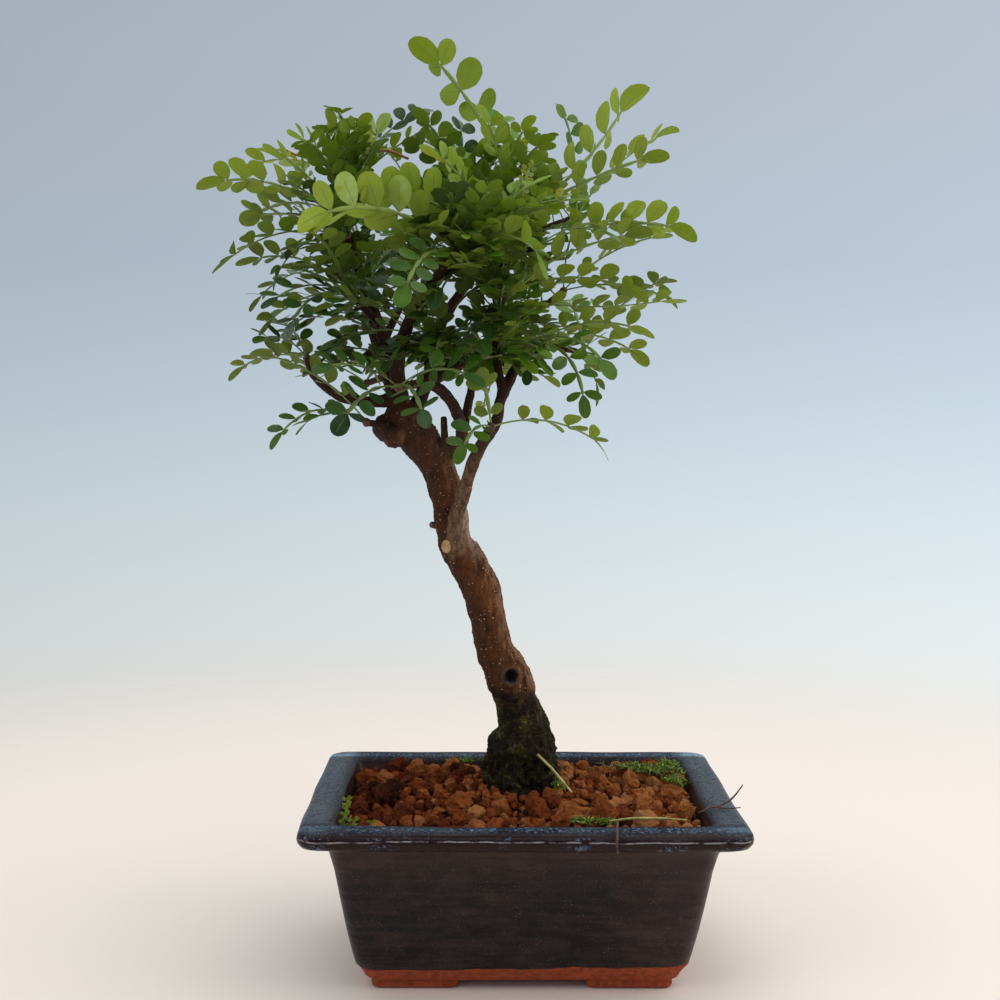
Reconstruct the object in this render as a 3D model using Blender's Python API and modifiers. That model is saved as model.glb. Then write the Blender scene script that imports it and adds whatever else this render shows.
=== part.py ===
"""Chinese pepper bonsai: a small leaning tree in a glazed rectangular pot.

Sizes are metres. The hand-chosen places of the wood and the leaves are millimetres from the
middle of the pot's foot, with X to the right, Y away from the front and Z up.
"""
import math

import bmesh
import bpy
import numpy as np
from mathutils import Vector
from mathutils.bvhtree import BVHTree

MM = 0.001
FIT_GAP = 0.0003            # clearance between pieces that touch

# Middle of the pot, set so that the whole tree stands over the origin.
POT_X, POT_Y = 0.0190, -0.0072

# Pot: half sizes of its sections.
RIM_X, RIM_Y, RIM_TOP = 0.0750, 0.0530, 0.0600
MOUTH_X, MOUTH_Y = 0.06275, 0.0402
NECK_X, NECK_Y = 0.0650, 0.0430
GLAZE_END_X, GLAZE_END_Y, GLAZE_END_Z = 0.0570, 0.0360, 0.0085
BAND_X, BAND_Y, BAND_Z = 0.0545, 0.0335, 0.0030
FLOOR_X, FLOOR_Y, FLOOR_Z = 0.0500, 0.0295, 0.0095
POT_CORNER_POINTS = 4
# Sections of the pot's skin from the band at its foot up to the rim and down inside: half sizes,
# corner radius and height.
POT_SECTIONS = [
    (BAND_X - 0.0012, BAND_Y - 0.0012, 0.0060, BAND_Z), (BAND_X, BAND_Y, 0.0065, BAND_Z + 0.0015),
    (GLAZE_END_X, GLAZE_END_Y, 0.0070, GLAZE_END_Z), (0.0597, 0.0385, 0.0070, 0.0200),
    (0.0628, 0.0412, 0.0062, 0.0380), (NECK_X, NECK_Y, 0.0055, 0.0490), (0.0668, 0.0448, 0.0055, 0.0525),
    (RIM_X - 0.0018, RIM_Y - 0.0018, 0.0055, 0.0541), (RIM_X, RIM_Y, 0.0060, 0.0557),
    (RIM_X, RIM_Y, 0.0060, 0.0588), (RIM_X - 0.0012, RIM_Y - 0.0012, 0.0052, RIM_TOP - 0.0002),
    (MOUTH_X + 0.0016, MOUTH_Y + 0.0016, 0.0042, RIM_TOP), (MOUTH_X, MOUTH_Y, 0.0034, RIM_TOP - 0.0012),
    (FLOOR_X, FLOOR_Y, 0.0050, FLOOR_Z),
]
FOOT_LONG, FOOT_WIDE = 0.030, 0.014
FOOT_X, FOOT_Y = 0.0365, 0.0252
DRAIN_X, DRAIN_RADIUS = 0.026, 0.006

# Plastic mesh that keeps the soil in over each drain hole.
SCREEN_SIDE, SCREEN_THICK, SCREEN_CELLS = 0.020, 0.0008, 5

# Soil: its level at the wall, its mound and its granules.
SOIL_EDGE_Z, SOIL_MOUND, SOIL_ABOVE = 0.0572, 0.0045, 0.0750
SOIL_CORNER_POINTS = 4
RELIEF_CELL, RELIEF_ROUGH, RELIEF_SHIFT, RELIEF_SEED = 0.0052, 0.0020, 0.0016, 11
GRANULES, GRANULE_SMALL, GRANULE_LARGE = 44, 0.0034, 0.0054
GRANULE_MARGIN, GRANULE_TRIES, GRANULE_SEED = 0.0018, 1500, 7

# The trunk's foot fills a plain oval hole in the soil.
FOOT_CENTRE = (0.0003, 0.0062)
ROOT_X, ROOT_Y, ROOT_BOTTOM, ROOT_TOP = 0.0135, 0.0124, 0.0340, 0.0580
ROOT_SLACK = 0.0007
TRUNK_SIDES = 14

# Rows of x, y, z and radius along the middle of the trunk, from the soil to the chopped top.
TRUNK = [
    (0, 6, 66, 12.6), (0.5, 6, 74, 12.2), (0.9, 6, 79, 10.4), (0.4, 6, 84, 8.6), (-1.8, 6, 91, 8.0),
    (-5, 6, 100, 8.2), (-9.6, 6, 110, 6.9), (-12.3, 5, 120, 6.4), (-15, 4, 132, 6.9), (-20.0, 3, 142, 6.8),
    (-24.0, 3, 148, 6.1), (-25.6, 3, 157, 6.0), (-27.6, 3, 167, 5.9), (-31, 3, 177, 6.2),
    (-36, 3, 184, 6.8), (-41, 3, 190, 7.2), (-44, 3, 196, 6.0), (-45, 3, 199, 3.6),
]

# Limbs: rows of x, y, z and radius. A limb with a bud's name ends just short of that bud.
LIMBS = [
    ("front", "h4", [(-24.5, 0, 141, 1.6), (-24.9, -3.2, 150, 2.6), (-23.8, -5.6, 159, 2.6),
                     (-21.6, -8, 166, 2.5), (-19.4, -10.8, 174, 2.3), (-16, -14, 183, 2.2),
                     (-10, -16, 193, 2.1), (-9, -14, 199, 1.9), (-6, -10, 206, 2.0), (-1, -3, 215, 1.5)]),
    ("front_fork", "h5", [(-8, -13, 202, 1.6), (-10, -10, 214, 1.4), (-10, -8, 226, 1.2)]),
    ("front_spur", "h7", [(-15, -15, 186, 1.5), (-13.5, -20, 188, 1.3)]),
    ("middle", "h8", [(-30, 2, 180, 3.2), (-23, 0, 183, 2.5), (-22, -3, 189, 2.2), (-24, -8, 196, 2.1),
                      (-28, -13, 202, 2.0), (-33, -18, 205, 1.8), (-39, -23, 205, 1.5)]),
    ("knobbly", "hk", [(-22, -1, 187, 1.8), (-20, 0, 198, 1.6), (-18, 2, 208, 1.4)]),
    ("dead_stub", None, [(-28, 0, 182, 1.5), (-28.5, -3, 194, 1.2)]),
    ("rear", "h3", [(-42, 5, 192, 3.8), (-37, 9, 201, 2.7), (-34, 12, 210, 2.4), (-33, 14, 220, 2.2),
                    (-28, 15, 231, 2.0), (-20, 16, 243, 1.8), (-9, 12, 256, 1.6)]),
    ("top_right", "ht1", [(-14, 14, 250, 1.5), (-10, 12, 264, 1.3)]),
    ("top_middle", "ht2", [(-20, 16, 243, 1.6), (-23, 18, 258, 1.3)]),
    ("top_front", "hr", [(-18, 15, 245, 1.5), (-7, 5, 249, 1.3)]),
    ("top_back", "hb8", [(-9, 12, 256, 1.4), (6, 18, 262, 1.2)]),
    ("leader", "h1", [(-43, 4, 193, 4.6), (-44.5, 2, 203, 3.2), (-45, 0, 212, 2.7), (-42.5, -6, 221, 2.4),
                      (-39, -12, 229, 2.2), (-32, -21, 238, 2.1), (-27, -29, 244, 2.2)]),
    ("leader_fork", "h1b", [(-30, -24, 240, 1.6), (-20, -28, 246, 1.3)]),
    ("left", "h2", [(-45, 1, 209, 2.3), (-51, 4, 224, 2.2), (-56, 4, 238, 1.9), (-60, 0, 249, 1.6)]),
    ("left_upper", "hp", [(-58, 2, 244, 1.6), (-65, 5, 257, 1.4)]),
    ("left_top", "ht3", [(-63, 4, 254, 1.4), (-66, 11, 268, 1.2)]),
    ("left_rear", "ht4", [(-65, 9, 265, 1.4), (-64, 21, 274, 1.2)]),
    ("left_spur", "h10", [(-51, 4, 226, 1.6), (-56, -4, 231, 1.3)]),
    ("left_back", "hx", [(-56, 4, 237, 1.6), (-64, 14, 242, 1.3)]),
    ("low_left", "hl2", [(-45, 1, 200, 2.8), (-54, -3, 199, 2.0), (-63, -5, 200, 1.7), (-70, -4, 204, 1.5),
                         (-75, -1, 209, 1.3)]),
    ("low_stub", None, [(-58, -4, 199.5, 1.4), (-64, -7, 205, 1.1)]),
    ("low_spur", "h6", [(-45, 0, 189, 2.0), (-51, -6, 191, 1.5)]),
    ("centre", "h9", [(-33, 13, 214, 1.7), (-30, 6, 218, 1.4)]),
    ("back_left", "hb1", [(-42, 6, 193, 3.6), (-48, 18, 204, 2.6), (-54, 30, 218, 2.0), (-58, 37, 230, 1.5)]),
    ("back_low", "hb7", [(-50, 22, 209, 1.7), (-55, 30, 207, 1.3)]),
    ("back_top", "hb2", [(-54, 29, 217, 1.8), (-46, 39, 236, 1.4)]),
    ("back_right", "hb4", [(-35, 11, 206, 2.8), (-22, 22, 214, 2.2), (-8, 32, 224, 1.8), (6, 38, 234, 1.4)]),
    ("back_side", "hb5", [(-9, 31, 223, 1.6), (8, 33, 221, 1.3)]),
    ("back_mid", "hb6", [(-23, 21, 213, 1.6), (-25, 35, 213, 1.3)]),
    ("back_high", "hb3", [(-8, 32, 224, 1.6), (-11, 39, 244, 1.3)]),
]

TWIG_END = 1.2              # radius of a twig's end, beside its bud
THICK_LIMB, THIN_LIMB = 3.0, 1.6    # limbs over the first have 8 sides, up to the second 4

# Old cuts and scars on the wood: the burl's balls as x, y, z and radius; each stub as start, end and
# radius; and the knot's collar as middle, ring radius and radius of the ring's round section.
BURL = [(-49, 2, 190, 5.0), (-46, -3, 187, 4.2)]
CUT_STUB = ((-23, -1, 148), (-27.4, -5.6, 148.4), 2.7)
BUD_STUB = ((-30, 0, 155), (-33, -2, 156), 1.3)
KNOT = ((-4.0, -1.8, 101.5), 3.3, 1.1)

# Buds that the fronds grow from: place, and how many more fronds than the ones listed below.
BUD_RADIUS = 0.0019
BUDS = {
    "h1": ((-24, -36, 248), 2), "h1b": ((-12, -27, 250), 2), "h2": ((-62, -6, 256), 1),
    "h3": ((-1, 4, 265), 1), "h4": ((4, 2, 221), 1), "h5": ((-8, -6, 236), 1),
    "h6": ((-55, -10, 192), 1), "h7": ((-12, -25, 191), 0), "h8": ((-43, -27, 204), 1),
    "h9": ((-27, -1, 222), 1), "h10": ((-61, -11, 236), 1), "hp": ((-71, 6, 267), 0),
    "ht1": ((-6, 8, 276), 1), "ht2": ((-22, 16, 275), 2), "ht3": ((-68, 14, 280), 0),
    "ht4": ((-62, 31, 284), 1),
    "hr": ((3, -4, 253), 1), "hk": ((-16, 4, 219), 2), "hl2": ((-77, 3, 214), 2),
    "hx": ((-71, 22, 246), 1), "hb1": ((-61, 43, 238), 3), "hb2": ((-39, 46, 254), 4),
    "hb3": ((-13, 44, 263), 3), "hb4": ((16, 43, 242), 3), "hb5": ((23, 33, 218), 3),
    "hb6": ((-27, 48, 214), 3), "hb7": ((-59, 37, 206), 3), "hb8": ((19, 22, 267), 1),
}

# Fronds read one by one: bud, tip, arch height, degrees that the front edge is lifted, leaf pairs.
FRONDS = [
    ("h1", (-72, -60, 253), 9, 60, 3), ("h1b", (-52, -48, 264), 6, 55, 3), ("h1", (6, -58, 240), 8, 20, 3),
    ("ht1", (-39, 10, 326), 4, 60, 3), ("h3", (40, 18, 314), -4, 55, 3), ("hb8", (56, 30, 301), 4, 30, 3),
    ("h3", (50, 6, 288), 2, 25, 3), ("hr", (59, -12, 257), 6, 40, 3), ("h5", (44, 10, 258), 5, 35, 3),
    ("h5", (42, -18, 234), 7, 35, 3), ("h5", (60, 4, 238), -4, 30, 3), ("h4", (43, -14, 223), 5, 30, 3),
    ("h4", (46, 14, 214), 6, 20, 3), ("h4", (20, -18, 194), 8, -30, 3), ("h4", (28, -30, 208), 6, -20, 2),
    ("h4", (27, -6, 200), 7, -20, 2), ("h7", (27, -46, 183), 6, 25, 3), ("h7", (-15, -32, 207), 1, 40, 2),
    ("h7", (-22, -44, 182), 4, -30, 2), ("hp", (-113, 0, 274), 5, 25, 3), ("ht3", (-103, 34, 286), 4, 10, 3),
    ("hp", (-90, 12, 288), 2, 30, 2), ("ht3", (-85, 28, 296), 3, 30, 2), ("ht3", (-52, 26, 302), -3, 50, 3),
    ("ht4", (-34, 40, 311), 4, -30, 3), ("ht2", (-24, 14, 304), 2, 60, 2), ("ht2", (-42, 2, 290), 3, 40, 2),
    ("ht1", (6, -4, 290), 1, 40, 2), ("h2", (-104, -30, 240), 7, 15, 3), ("hp", (-104, 22, 266), 4, 20, 3),
    ("hx", (-102, 18, 249), 4, 20, 3), ("hx", (-104, 36, 233), 6, 10, 3), ("h2", (-87, -16, 238), 6, -10, 2),
    ("h10", (-86, -36, 229), 5, -15, 2), ("h10", (-80, -44, 220), 6, -20, 2),
    ("h10", (-95, 2, 223), 5, 15, 3), ("hl2", (-90, -26, 219), 4, -15, 2), ("hl2", (-105, 10, 208), 4, 10, 2),
    ("h6", (-86, -28, 182), 9, -15, 3), ("h6", (-82, 8, 188), 5, -20, 2), ("h8", (-60, -54, 190), 5, -45, 3),
    ("h8", (-32, -62, 192), 5, -45, 3), ("h8", (-66, -50, 209), 4, -35, 2),
    ("h8", (-16, -44, 206), 5, -30, 2), ("h9", (-14, -36, 216), 5, -25, 2),
    ("h9", (-40, -38, 226), 5, -30, 2), ("h1", (-40, -66, 228), 7, -30, 3), ("hr", (22, -40, 246), 6, -10, 3),
]

# How a frond is cut: widths, and where its leaf pairs and its end leaflet start along it.
RIB_WIDE, BLADE_THICK = 0.0018, 0.0008
PAIRS_START, PAIRS_END = 0.20, 0.71
LEAFY_START = 0.18
LEAFLET_LONG, LEAFLET_FORWARD, LEAFLET_RISE = 0.0115, 0.30, 12.0
LEAFLET_HALF, LEAFLET_WIDEST = 0.41, 0.60
END_LEAFLET_HALF = 0.0048

# How the crown's filling grows. Its fronds stand round the way out of the crown's heart, a golden angle
# apart, and their tips stay in an oval and above a level. Lengths, leans and turns are tried in order.
CROWN_HEART = (-0.025, 0.004, 0.226)
CROWN_MIDDLE, CROWN_HALF, CROWN_LOW = (-0.024, 0.010, 0.243), (0.090, 0.076, 0.082), 0.203
FILLING_LENGTHS, FILLING_ARCH, FILLING_PAIRS = (0.047, 0.0376), 0.10, 2
FILLING_LEANS, FILLING_TURNS, UPWARD = (0.75, 0.35, 1.3), (0, 24, -24, 48, -48, 72, -72), (0, 0, 0.12)
FILLING_LIFTS, BUD_STEP, GOLDEN = (25, -10, 15, -25), 50.0, 137.5

# How a listed frond gives way to what it would touch: shorter, bent forward or back in mm, turned.
LISTED_SHARES, LISTED_PUSHES, LISTED_TURNS = (1.0, 0.85), (0, 6, -6, 12, -12, 18, -18), (0, 20, -20)
CLEAR_HALF = 0.0008         # half thickness that a frond is tested at
NEAR_TWIG = 0.0025          # the stretch of a frond inside its bud, not tested against the twig


def metres(row):
    """The row's numbers, given in millimetres, in metres."""
    return np.array(row, dtype=float) * MM


def unit(vector):
    return vector / np.linalg.norm(vector)


def paint(name, colour, roughness, coat=0.0):
    """A plain finish in the colour that the piece shows."""
    material = bpy.data.materials.new(name)
    material.use_nodes = True
    shader = material.node_tree.nodes["Principled BSDF"]
    shader.inputs["Base Color"].default_value = (*colour, 1.0)
    shader.inputs["Roughness"].default_value = roughness
    shader.inputs["Coat Weight"].default_value = coat
    return material


def add_object(name, verts, faces, collection, material=None):
    """An object from rows of corner places and faces."""
    mesh = bpy.data.meshes.new(name)
    mesh.from_pydata([tuple(v) for v in verts], [], faces)
    if material:
        mesh.materials.append(material)
    thing = bpy.data.objects.new(name, mesh)
    collection.objects.link(thing)
    return thing


def loft(rings):
    """Corners and faces of the closed skin through rings of equal count, ends filled."""
    count = len(rings[0])
    faces = [tuple(reversed(range(count)))]
    for level in range(len(rings) - 1):
        low, high = level * count, (level + 1) * count
        for k in range(count):
            nxt = (k + 1) % count
            faces.append((low + k, low + nxt, high + nxt, high + k))
    last = (len(rings) - 1) * count
    faces.append(tuple(last + k for k in range(count)))
    return np.concatenate(rings), faces


def rounded_ring(half_x, half_y, corner, z, per_corner):
    """A rectangle's outline with round corners, as one ring of points."""
    rows = []
    for quarter, (sx, sy) in enumerate([(1, 1), (-1, 1), (-1, -1), (1, -1)]):
        for k in range(per_corner):
            angle = math.radians(90.0 * quarter + 90.0 * k / (per_corner - 1))
            rows.append((sx * (half_x - corner) + corner * math.cos(angle),
                         sy * (half_y - corner) + corner * math.sin(angle), z))
    return np.array(rows)


def oval_ring(centre, half_x, half_y, z, per_corner):
    """An oval with as many points as rounded_ring, in the same order."""
    count = 4 * per_corner
    angles = 2 * math.pi * (np.arange(count) + 0.5) / count
    return np.stack([centre[0] + half_x * np.cos(angles), centre[1] + half_y * np.sin(angles),
                     np.full(count, z)], axis=1)


def settled(thing):
    """The thing's mesh with its modifiers in it, its doubles merged."""
    bpy.context.view_layer.update()
    graph = bpy.context.evaluated_depsgraph_get()
    mesh = bpy.data.meshes.new_from_object(thing.evaluated_get(graph), depsgraph=graph)
    work = bmesh.new()
    work.from_mesh(mesh)
    bmesh.ops.remove_doubles(work, verts=work.verts, dist=0.000001)
    bmesh.ops.triangulate(work, faces=work.faces)
    work.to_mesh(mesh)
    work.free()
    return mesh


def join(base, extras, operation="UNION"):
    """One Boolean of the base with the extras, applied, and the extras removed."""
    team = bpy.data.collections.new(base.name + "_extras")
    for extra in extras:
        team.objects.link(extra)
    change = base.modifiers.new("join", "BOOLEAN")
    change.operation = operation
    change.operand_type = "COLLECTION"
    change.collection = team
    change.solver = "MANIFOLD"
    mesh = settled(base)
    base.modifiers.clear()
    old = base.data
    base.data = mesh
    mesh.name = base.name
    bpy.data.meshes.remove(old)
    for extra in list(team.objects):
        bpy.data.objects.remove(extra, do_unlink=True)
    bpy.data.collections.remove(team)


def make_pot(parts, bench, glaze):
    """The pot: a loft of rounded rectangles up the outside and down the inside, feet, drain holes."""
    rings = [rounded_ring(x, y, c, z, POT_CORNER_POINTS) for x, y, c, z in POT_SECTIONS]
    pot = add_object("pot", *loft(rings), parts, glaze)
    feet = []
    for sx in (-1, 1):
        for sy in (-1, 1):
            top = BAND_Z + 0.001
            ring = rounded_ring(FOOT_LONG / 2, FOOT_WIDE / 2, 0.003, 0.0, 3)
            shift = (sx * FOOT_X, sy * FOOT_Y, 0.0)
            feet.append(add_object("foot", *loft([ring + shift, ring + shift + (0, 0, top)]), bench))
    join(pot, feet)
    drains = []
    for sx in (-1, 1):
        bpy.ops.mesh.primitive_cylinder_add(vertices=14, radius=DRAIN_RADIUS, depth=2 * FLOOR_Z,
                                            location=(sx * DRAIN_X, 0, FLOOR_Z / 2))
        drain = bpy.context.object
        drain.data.transform(drain.matrix_basis)
        drain.matrix_basis.identity()
        drains.append(drain)
    join(pot, drains, "DIFFERENCE")
    return pot


def make_screen(name, x, parts, plastic):
    """A square of coarse plastic net: a grid with every second cell out, given its thickness."""
    mesh = bpy.data.meshes.new(name)
    work = bmesh.new()
    bmesh.ops.create_grid(work, x_segments=SCREEN_CELLS, y_segments=SCREEN_CELLS, size=SCREEN_SIDE / 2)
    cell = SCREEN_SIDE / SCREEN_CELLS
    holes = []
    for face in work.faces:
        place = face.calc_center_median()
        column = round((place.x + SCREEN_SIDE / 2) / cell - 0.5)
        row = round((place.y + SCREEN_SIDE / 2) / cell - 0.5)
        if column % 2 and row % 2:
            holes.append(face)
    bmesh.ops.delete(work, geom=holes, context="FACES")
    bmesh.ops.translate(work, verts=work.verts, vec=(x, 0, FLOOR_Z + FIT_GAP))
    work.to_mesh(mesh)
    work.free()
    mesh.materials.append(plastic)
    screen = bpy.data.objects.new(name, mesh)
    parts.objects.link(screen)
    wall = screen.modifiers.new("wall", "SOLIDIFY")
    wall.thickness = SCREEN_THICK
    wall.offset = 1.0
    return screen


def soil_height(x, y):
    """The soil's level: highest round the trunk, falling to the wall."""
    reach = math.hypot((x - FOOT_CENTRE[0]) / 0.045, (y - FOOT_CENTRE[1]) / 0.030)
    return SOIL_EDGE_Z + SOIL_MOUND * math.exp(-reach * reach)


def wall_ring(z):
    """The outline of the pot's inside at a level, a fit gap in from the wall."""
    share = (z - FLOOR_Z) / (RIM_TOP - 0.0012 - FLOOR_Z)
    half_x = FLOOR_X + (MOUTH_X - FLOOR_X) * share - FIT_GAP - 0.0001
    half_y = FLOOR_Y + (MOUTH_Y - FLOOR_Y) * share - FIT_GAP - 0.0001
    return rounded_ring(half_x, half_y, 0.0052, z, SOIL_CORNER_POINTS)


def make_relief(bench):
    """What lies over the soil: a block whose underside is the granules' relief, a jittered rough grid."""
    draw = np.random.default_rng(RELIEF_SEED)
    columns = math.ceil(2.2 * MOUTH_X / RELIEF_CELL)
    rows = math.ceil(2.2 * MOUTH_Y / RELIEF_CELL)
    work = bmesh.new()
    bmesh.ops.create_grid(work, x_segments=columns, y_segments=rows, size=0.5)
    for vert in work.verts:
        inside = max(abs(vert.co.x), abs(vert.co.y)) < 0.499
        shift = draw.uniform(-1, 1, 2) * RELIEF_SHIFT * inside
        x = vert.co.x * columns * RELIEF_CELL + shift[0]
        y = vert.co.y * rows * RELIEF_CELL + shift[1]
        vert.co = (x, y, soil_height(x, y) + draw.uniform(-1, 1) * RELIEF_ROUGH)
    walls = bmesh.ops.extrude_face_region(work, geom=work.faces[:])
    for item in walls["geom"]:
        if isinstance(item, bmesh.types.BMVert):
            item.co.z = SOIL_ABOVE + 0.005
    bmesh.ops.recalc_face_normals(work, faces=work.faces)
    mesh = bpy.data.meshes.new("relief")
    work.to_mesh(mesh)
    work.free()
    relief = bpy.data.objects.new("relief", mesh)
    bench.objects.link(relief)
    return relief


def make_soil(parts, bench, earth):
    """The root ball: it fills the pot, holds the trunk's foot in a plain hole, and is rough with granules."""
    soil = add_object("soil", *loft([wall_ring(FLOOR_Z + FIT_GAP), wall_ring(SOIL_ABOVE)]), parts, earth)
    hole_x, hole_y = ROOT_X + ROOT_SLACK, ROOT_Y + ROOT_SLACK
    rings = [oval_ring(FOOT_CENTRE, hole_x, hole_y, z, SOIL_CORNER_POINTS)
             for z in (ROOT_BOTTOM - FIT_GAP, SOIL_ABOVE + 0.001)]
    hole = add_object("hole", *loft(rings), bench)
    recesses = []
    for sx in (-1, 1):
        half = SCREEN_SIDE / 2 + FIT_GAP
        ring = rounded_ring(half, half, 0.0001, 0.0, 2)
        low, high = FLOOR_Z - 0.001, FLOOR_Z + 2 * FIT_GAP + SCREEN_THICK
        rings = [ring + (sx * DRAIN_X, 0, low), ring + (sx * DRAIN_X, 0, high)]
        recesses.append(add_object("recess", *loft(rings), bench))
    join(soil, [make_relief(bench)], "DIFFERENCE")

    draw = np.random.default_rng(GRANULE_SEED)
    stones, placed = [], []
    for _ in range(GRANULE_TRIES):
        radius = draw.uniform(GRANULE_SMALL, GRANULE_LARGE)
        x = draw.uniform(-1, 1) * (MOUTH_X - GRANULE_MARGIN - radius)
        y = draw.uniform(-1, 1) * (MOUTH_Y - GRANULE_MARGIN - radius)
        away = math.hypot((x - FOOT_CENTRE[0]) / (hole_x + radius + FIT_GAP),
                          (y - FOOT_CENTRE[1]) / (hole_y + radius + FIT_GAP))
        crowded = any(math.hypot(x - a, y - b) < radius + r for a, b, r in placed)
        if away > 1.0 and not crowded and len(placed) < GRANULES:
            placed.append((x, y, radius))
            stones.append(make_granule(draw, x, y, radius, bench))
    join(soil, stones)
    join(soil, [hole] + recesses, "DIFFERENCE")
    return soil


def make_granule(draw, x, y, radius, bench):
    """One angular granule of baked clay, a third of it sunk in the soil."""
    work = bmesh.new()
    bmesh.ops.create_icosphere(work, subdivisions=1, radius=radius)
    for vert in work.verts:
        vert.co = Vector(np.array(vert.co) * draw.uniform(0.82, 1.0, 3) * (1.0, 1.0, 0.7))
    bmesh.ops.translate(work, verts=work.verts, vec=(x, y, soil_height(x, y) + 0.1 * radius))
    mesh = bpy.data.meshes.new("granule")
    work.to_mesh(mesh)
    work.free()
    stone = bpy.data.objects.new("granule", mesh)
    bench.objects.link(stone)
    return stone


def path_frames(points):
    """Directions along a path, with two side directions that turn as little as they can."""
    ahead = np.gradient(points, axis=0)
    ahead /= np.linalg.norm(ahead, axis=1)[:, None]
    side = [unit(np.cross(ahead[0], (0.0, 1.0, 0.0)))]
    for direction in ahead[1:]:
        side.append(unit(side[-1] - direction * np.dot(side[-1], direction)))
    side = np.array(side)
    return ahead, side, np.cross(ahead, side)


def trunk_skin():
    """The trunk's loft: an oval foot in the soil, a ridged flare over it, then the leaning stem."""
    rows = np.array(TRUNK, dtype=float) * MM
    points, radii = rows[:, :3], rows[:, 3]
    _, side, other = path_frames(points)
    angles = 2 * math.pi * (np.arange(TRUNK_SIDES) + 0.5) / TRUNK_SIDES
    rings = []
    for z in (ROOT_BOTTOM, ROOT_TOP):
        rings.append(np.stack([FOOT_CENTRE[0] + ROOT_X * np.cos(angles),
                               FOOT_CENTRE[1] + ROOT_Y * np.sin(angles), np.full(TRUNK_SIDES, z)], axis=1))
    for point, radius, a, b in zip(points, radii, side, other):
        flare = max(0.0, 1.0 - (point[2] - ROOT_TOP) / 0.030)
        ridge = 1.0 + 0.07 * flare * np.cos(5 * angles + 0.6) + 0.035 * np.cos(3 * angles + 60.0 * point[2])
        spread = (radius * ridge)[:, None]
        rings.append(point + spread * (np.cos(angles)[:, None] * a + np.sin(angles)[:, None] * b))
    return loft(rings)


def make_limb(name, rows, bench):
    """A tapering tube through the rows, as a mesh with closed ends."""
    points = np.array(rows, dtype=float)
    thickest = max(row[3] for row in rows)
    curve = bpy.data.curves.new(name, "CURVE")
    curve.dimensions = "3D"
    curve.bevel_depth = MM
    curve.bevel_resolution = 2 if thickest > THICK_LIMB else 1 if thickest > THIN_LIMB else 0
    curve.use_fill_caps = True
    spline = curve.splines.new("POLY")
    spline.points.add(len(points) - 1)
    for knot, row in zip(spline.points, points):
        knot.co = (*(row[:3] * MM), 1.0)
        knot.radius = row[3]
    tube = bpy.data.objects.new(name, curve)
    bench.objects.link(tube)
    mesh = settled(tube)
    bpy.data.objects.remove(tube, do_unlink=True)
    bpy.data.curves.remove(curve)
    limb = bpy.data.objects.new(name, mesh)
    bench.objects.link(limb)
    return limb


def limb_rows(bud, rows):
    """The limb's rows with its end just short of its bud."""
    if bud is None:
        return rows
    place = np.array(BUDS[bud][0], dtype=float)
    last = np.array(rows[-1][:3], dtype=float)
    end = place + unit(last - place) * (BUD_RADIUS + FIT_GAP) / MM
    return rows + [(*end, TWIG_END)]


def make_lump(place, radius, bench):
    """A rounded swelling of the wood."""
    work = bmesh.new()
    bmesh.ops.create_icosphere(work, subdivisions=1, radius=radius)
    bmesh.ops.translate(work, verts=work.verts, vec=place)
    mesh = bpy.data.meshes.new("lump")
    work.to_mesh(mesh)
    work.free()
    lump = bpy.data.objects.new("lump", mesh)
    bench.objects.link(lump)
    return lump


def make_knot(bench):
    """The raised collar round the old knot on the trunk's front."""
    place, radius, thick = KNOT
    bpy.ops.mesh.primitive_torus_add(major_segments=10, minor_segments=4, major_radius=radius * MM,
                                     minor_radius=thick * MM, location=metres(place),
                                     rotation=(math.radians(90), 0, 0))
    ring = bpy.context.object
    ring.data.transform(ring.matrix_basis)
    ring.matrix_basis.identity()
    return ring


def make_trunk(parts, bench, bark):
    """All the wood as one piece: trunk, limbs, twigs, burl, cut stubs and knot. Also its separate tubes."""
    trunk = add_object("trunk", *trunk_skin(), parts, bark)
    extras = [make_limb(name, limb_rows(bud, rows), bench) for name, bud, rows in LIMBS]
    for start, end, radius in (CUT_STUB, BUD_STUB):
        extras.append(make_limb("stub", [(*start, radius), (*end, radius)], bench))
    for x, y, z, radius in BURL:
        extras.append(make_lump(metres((x, y, z)), radius * MM, bench))
    extras.append(make_knot(bench))
    skins = [skin_of(thing) for thing in [trunk] + extras]
    join(trunk, extras)
    return trunk, skins


def skin_of(thing):
    """The corners and faces of a mesh object."""
    return ([tuple(v.co) for v in thing.data.vertices], [tuple(p.vertices) for p in thing.data.polygons])


def frond_points(start, tip, arch, lift, share):
    """Place, side and normal of a frond's rib at each share of its length: a parabola over its chord."""
    chord = tip - start
    ahead = unit(chord)
    over = np.array((0.0, 0.0, 1.0)) - ahead[2] * ahead
    over = unit(over)
    share = np.asarray(share, dtype=float)[:, None]
    place = start + chord * share + over * 4 * arch * share * (1 - share)
    tangent = chord + over * 4 * arch * (1 - 2 * share)
    tangent /= np.linalg.norm(tangent, axis=1)[:, None]
    side = np.cross(tangent, over)
    side /= np.linalg.norm(side, axis=1)[:, None]
    if side[0, 1] > 0:
        side = -side
    normal = np.cross(side, tangent)
    normal *= np.where(normal @ over < 0, -1.0, 1.0)[:, None]
    angle = math.radians(lift)
    return place, side * math.cos(angle) + normal * math.sin(angle), \
        normal * math.cos(angle) - side * math.sin(angle), tangent


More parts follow.
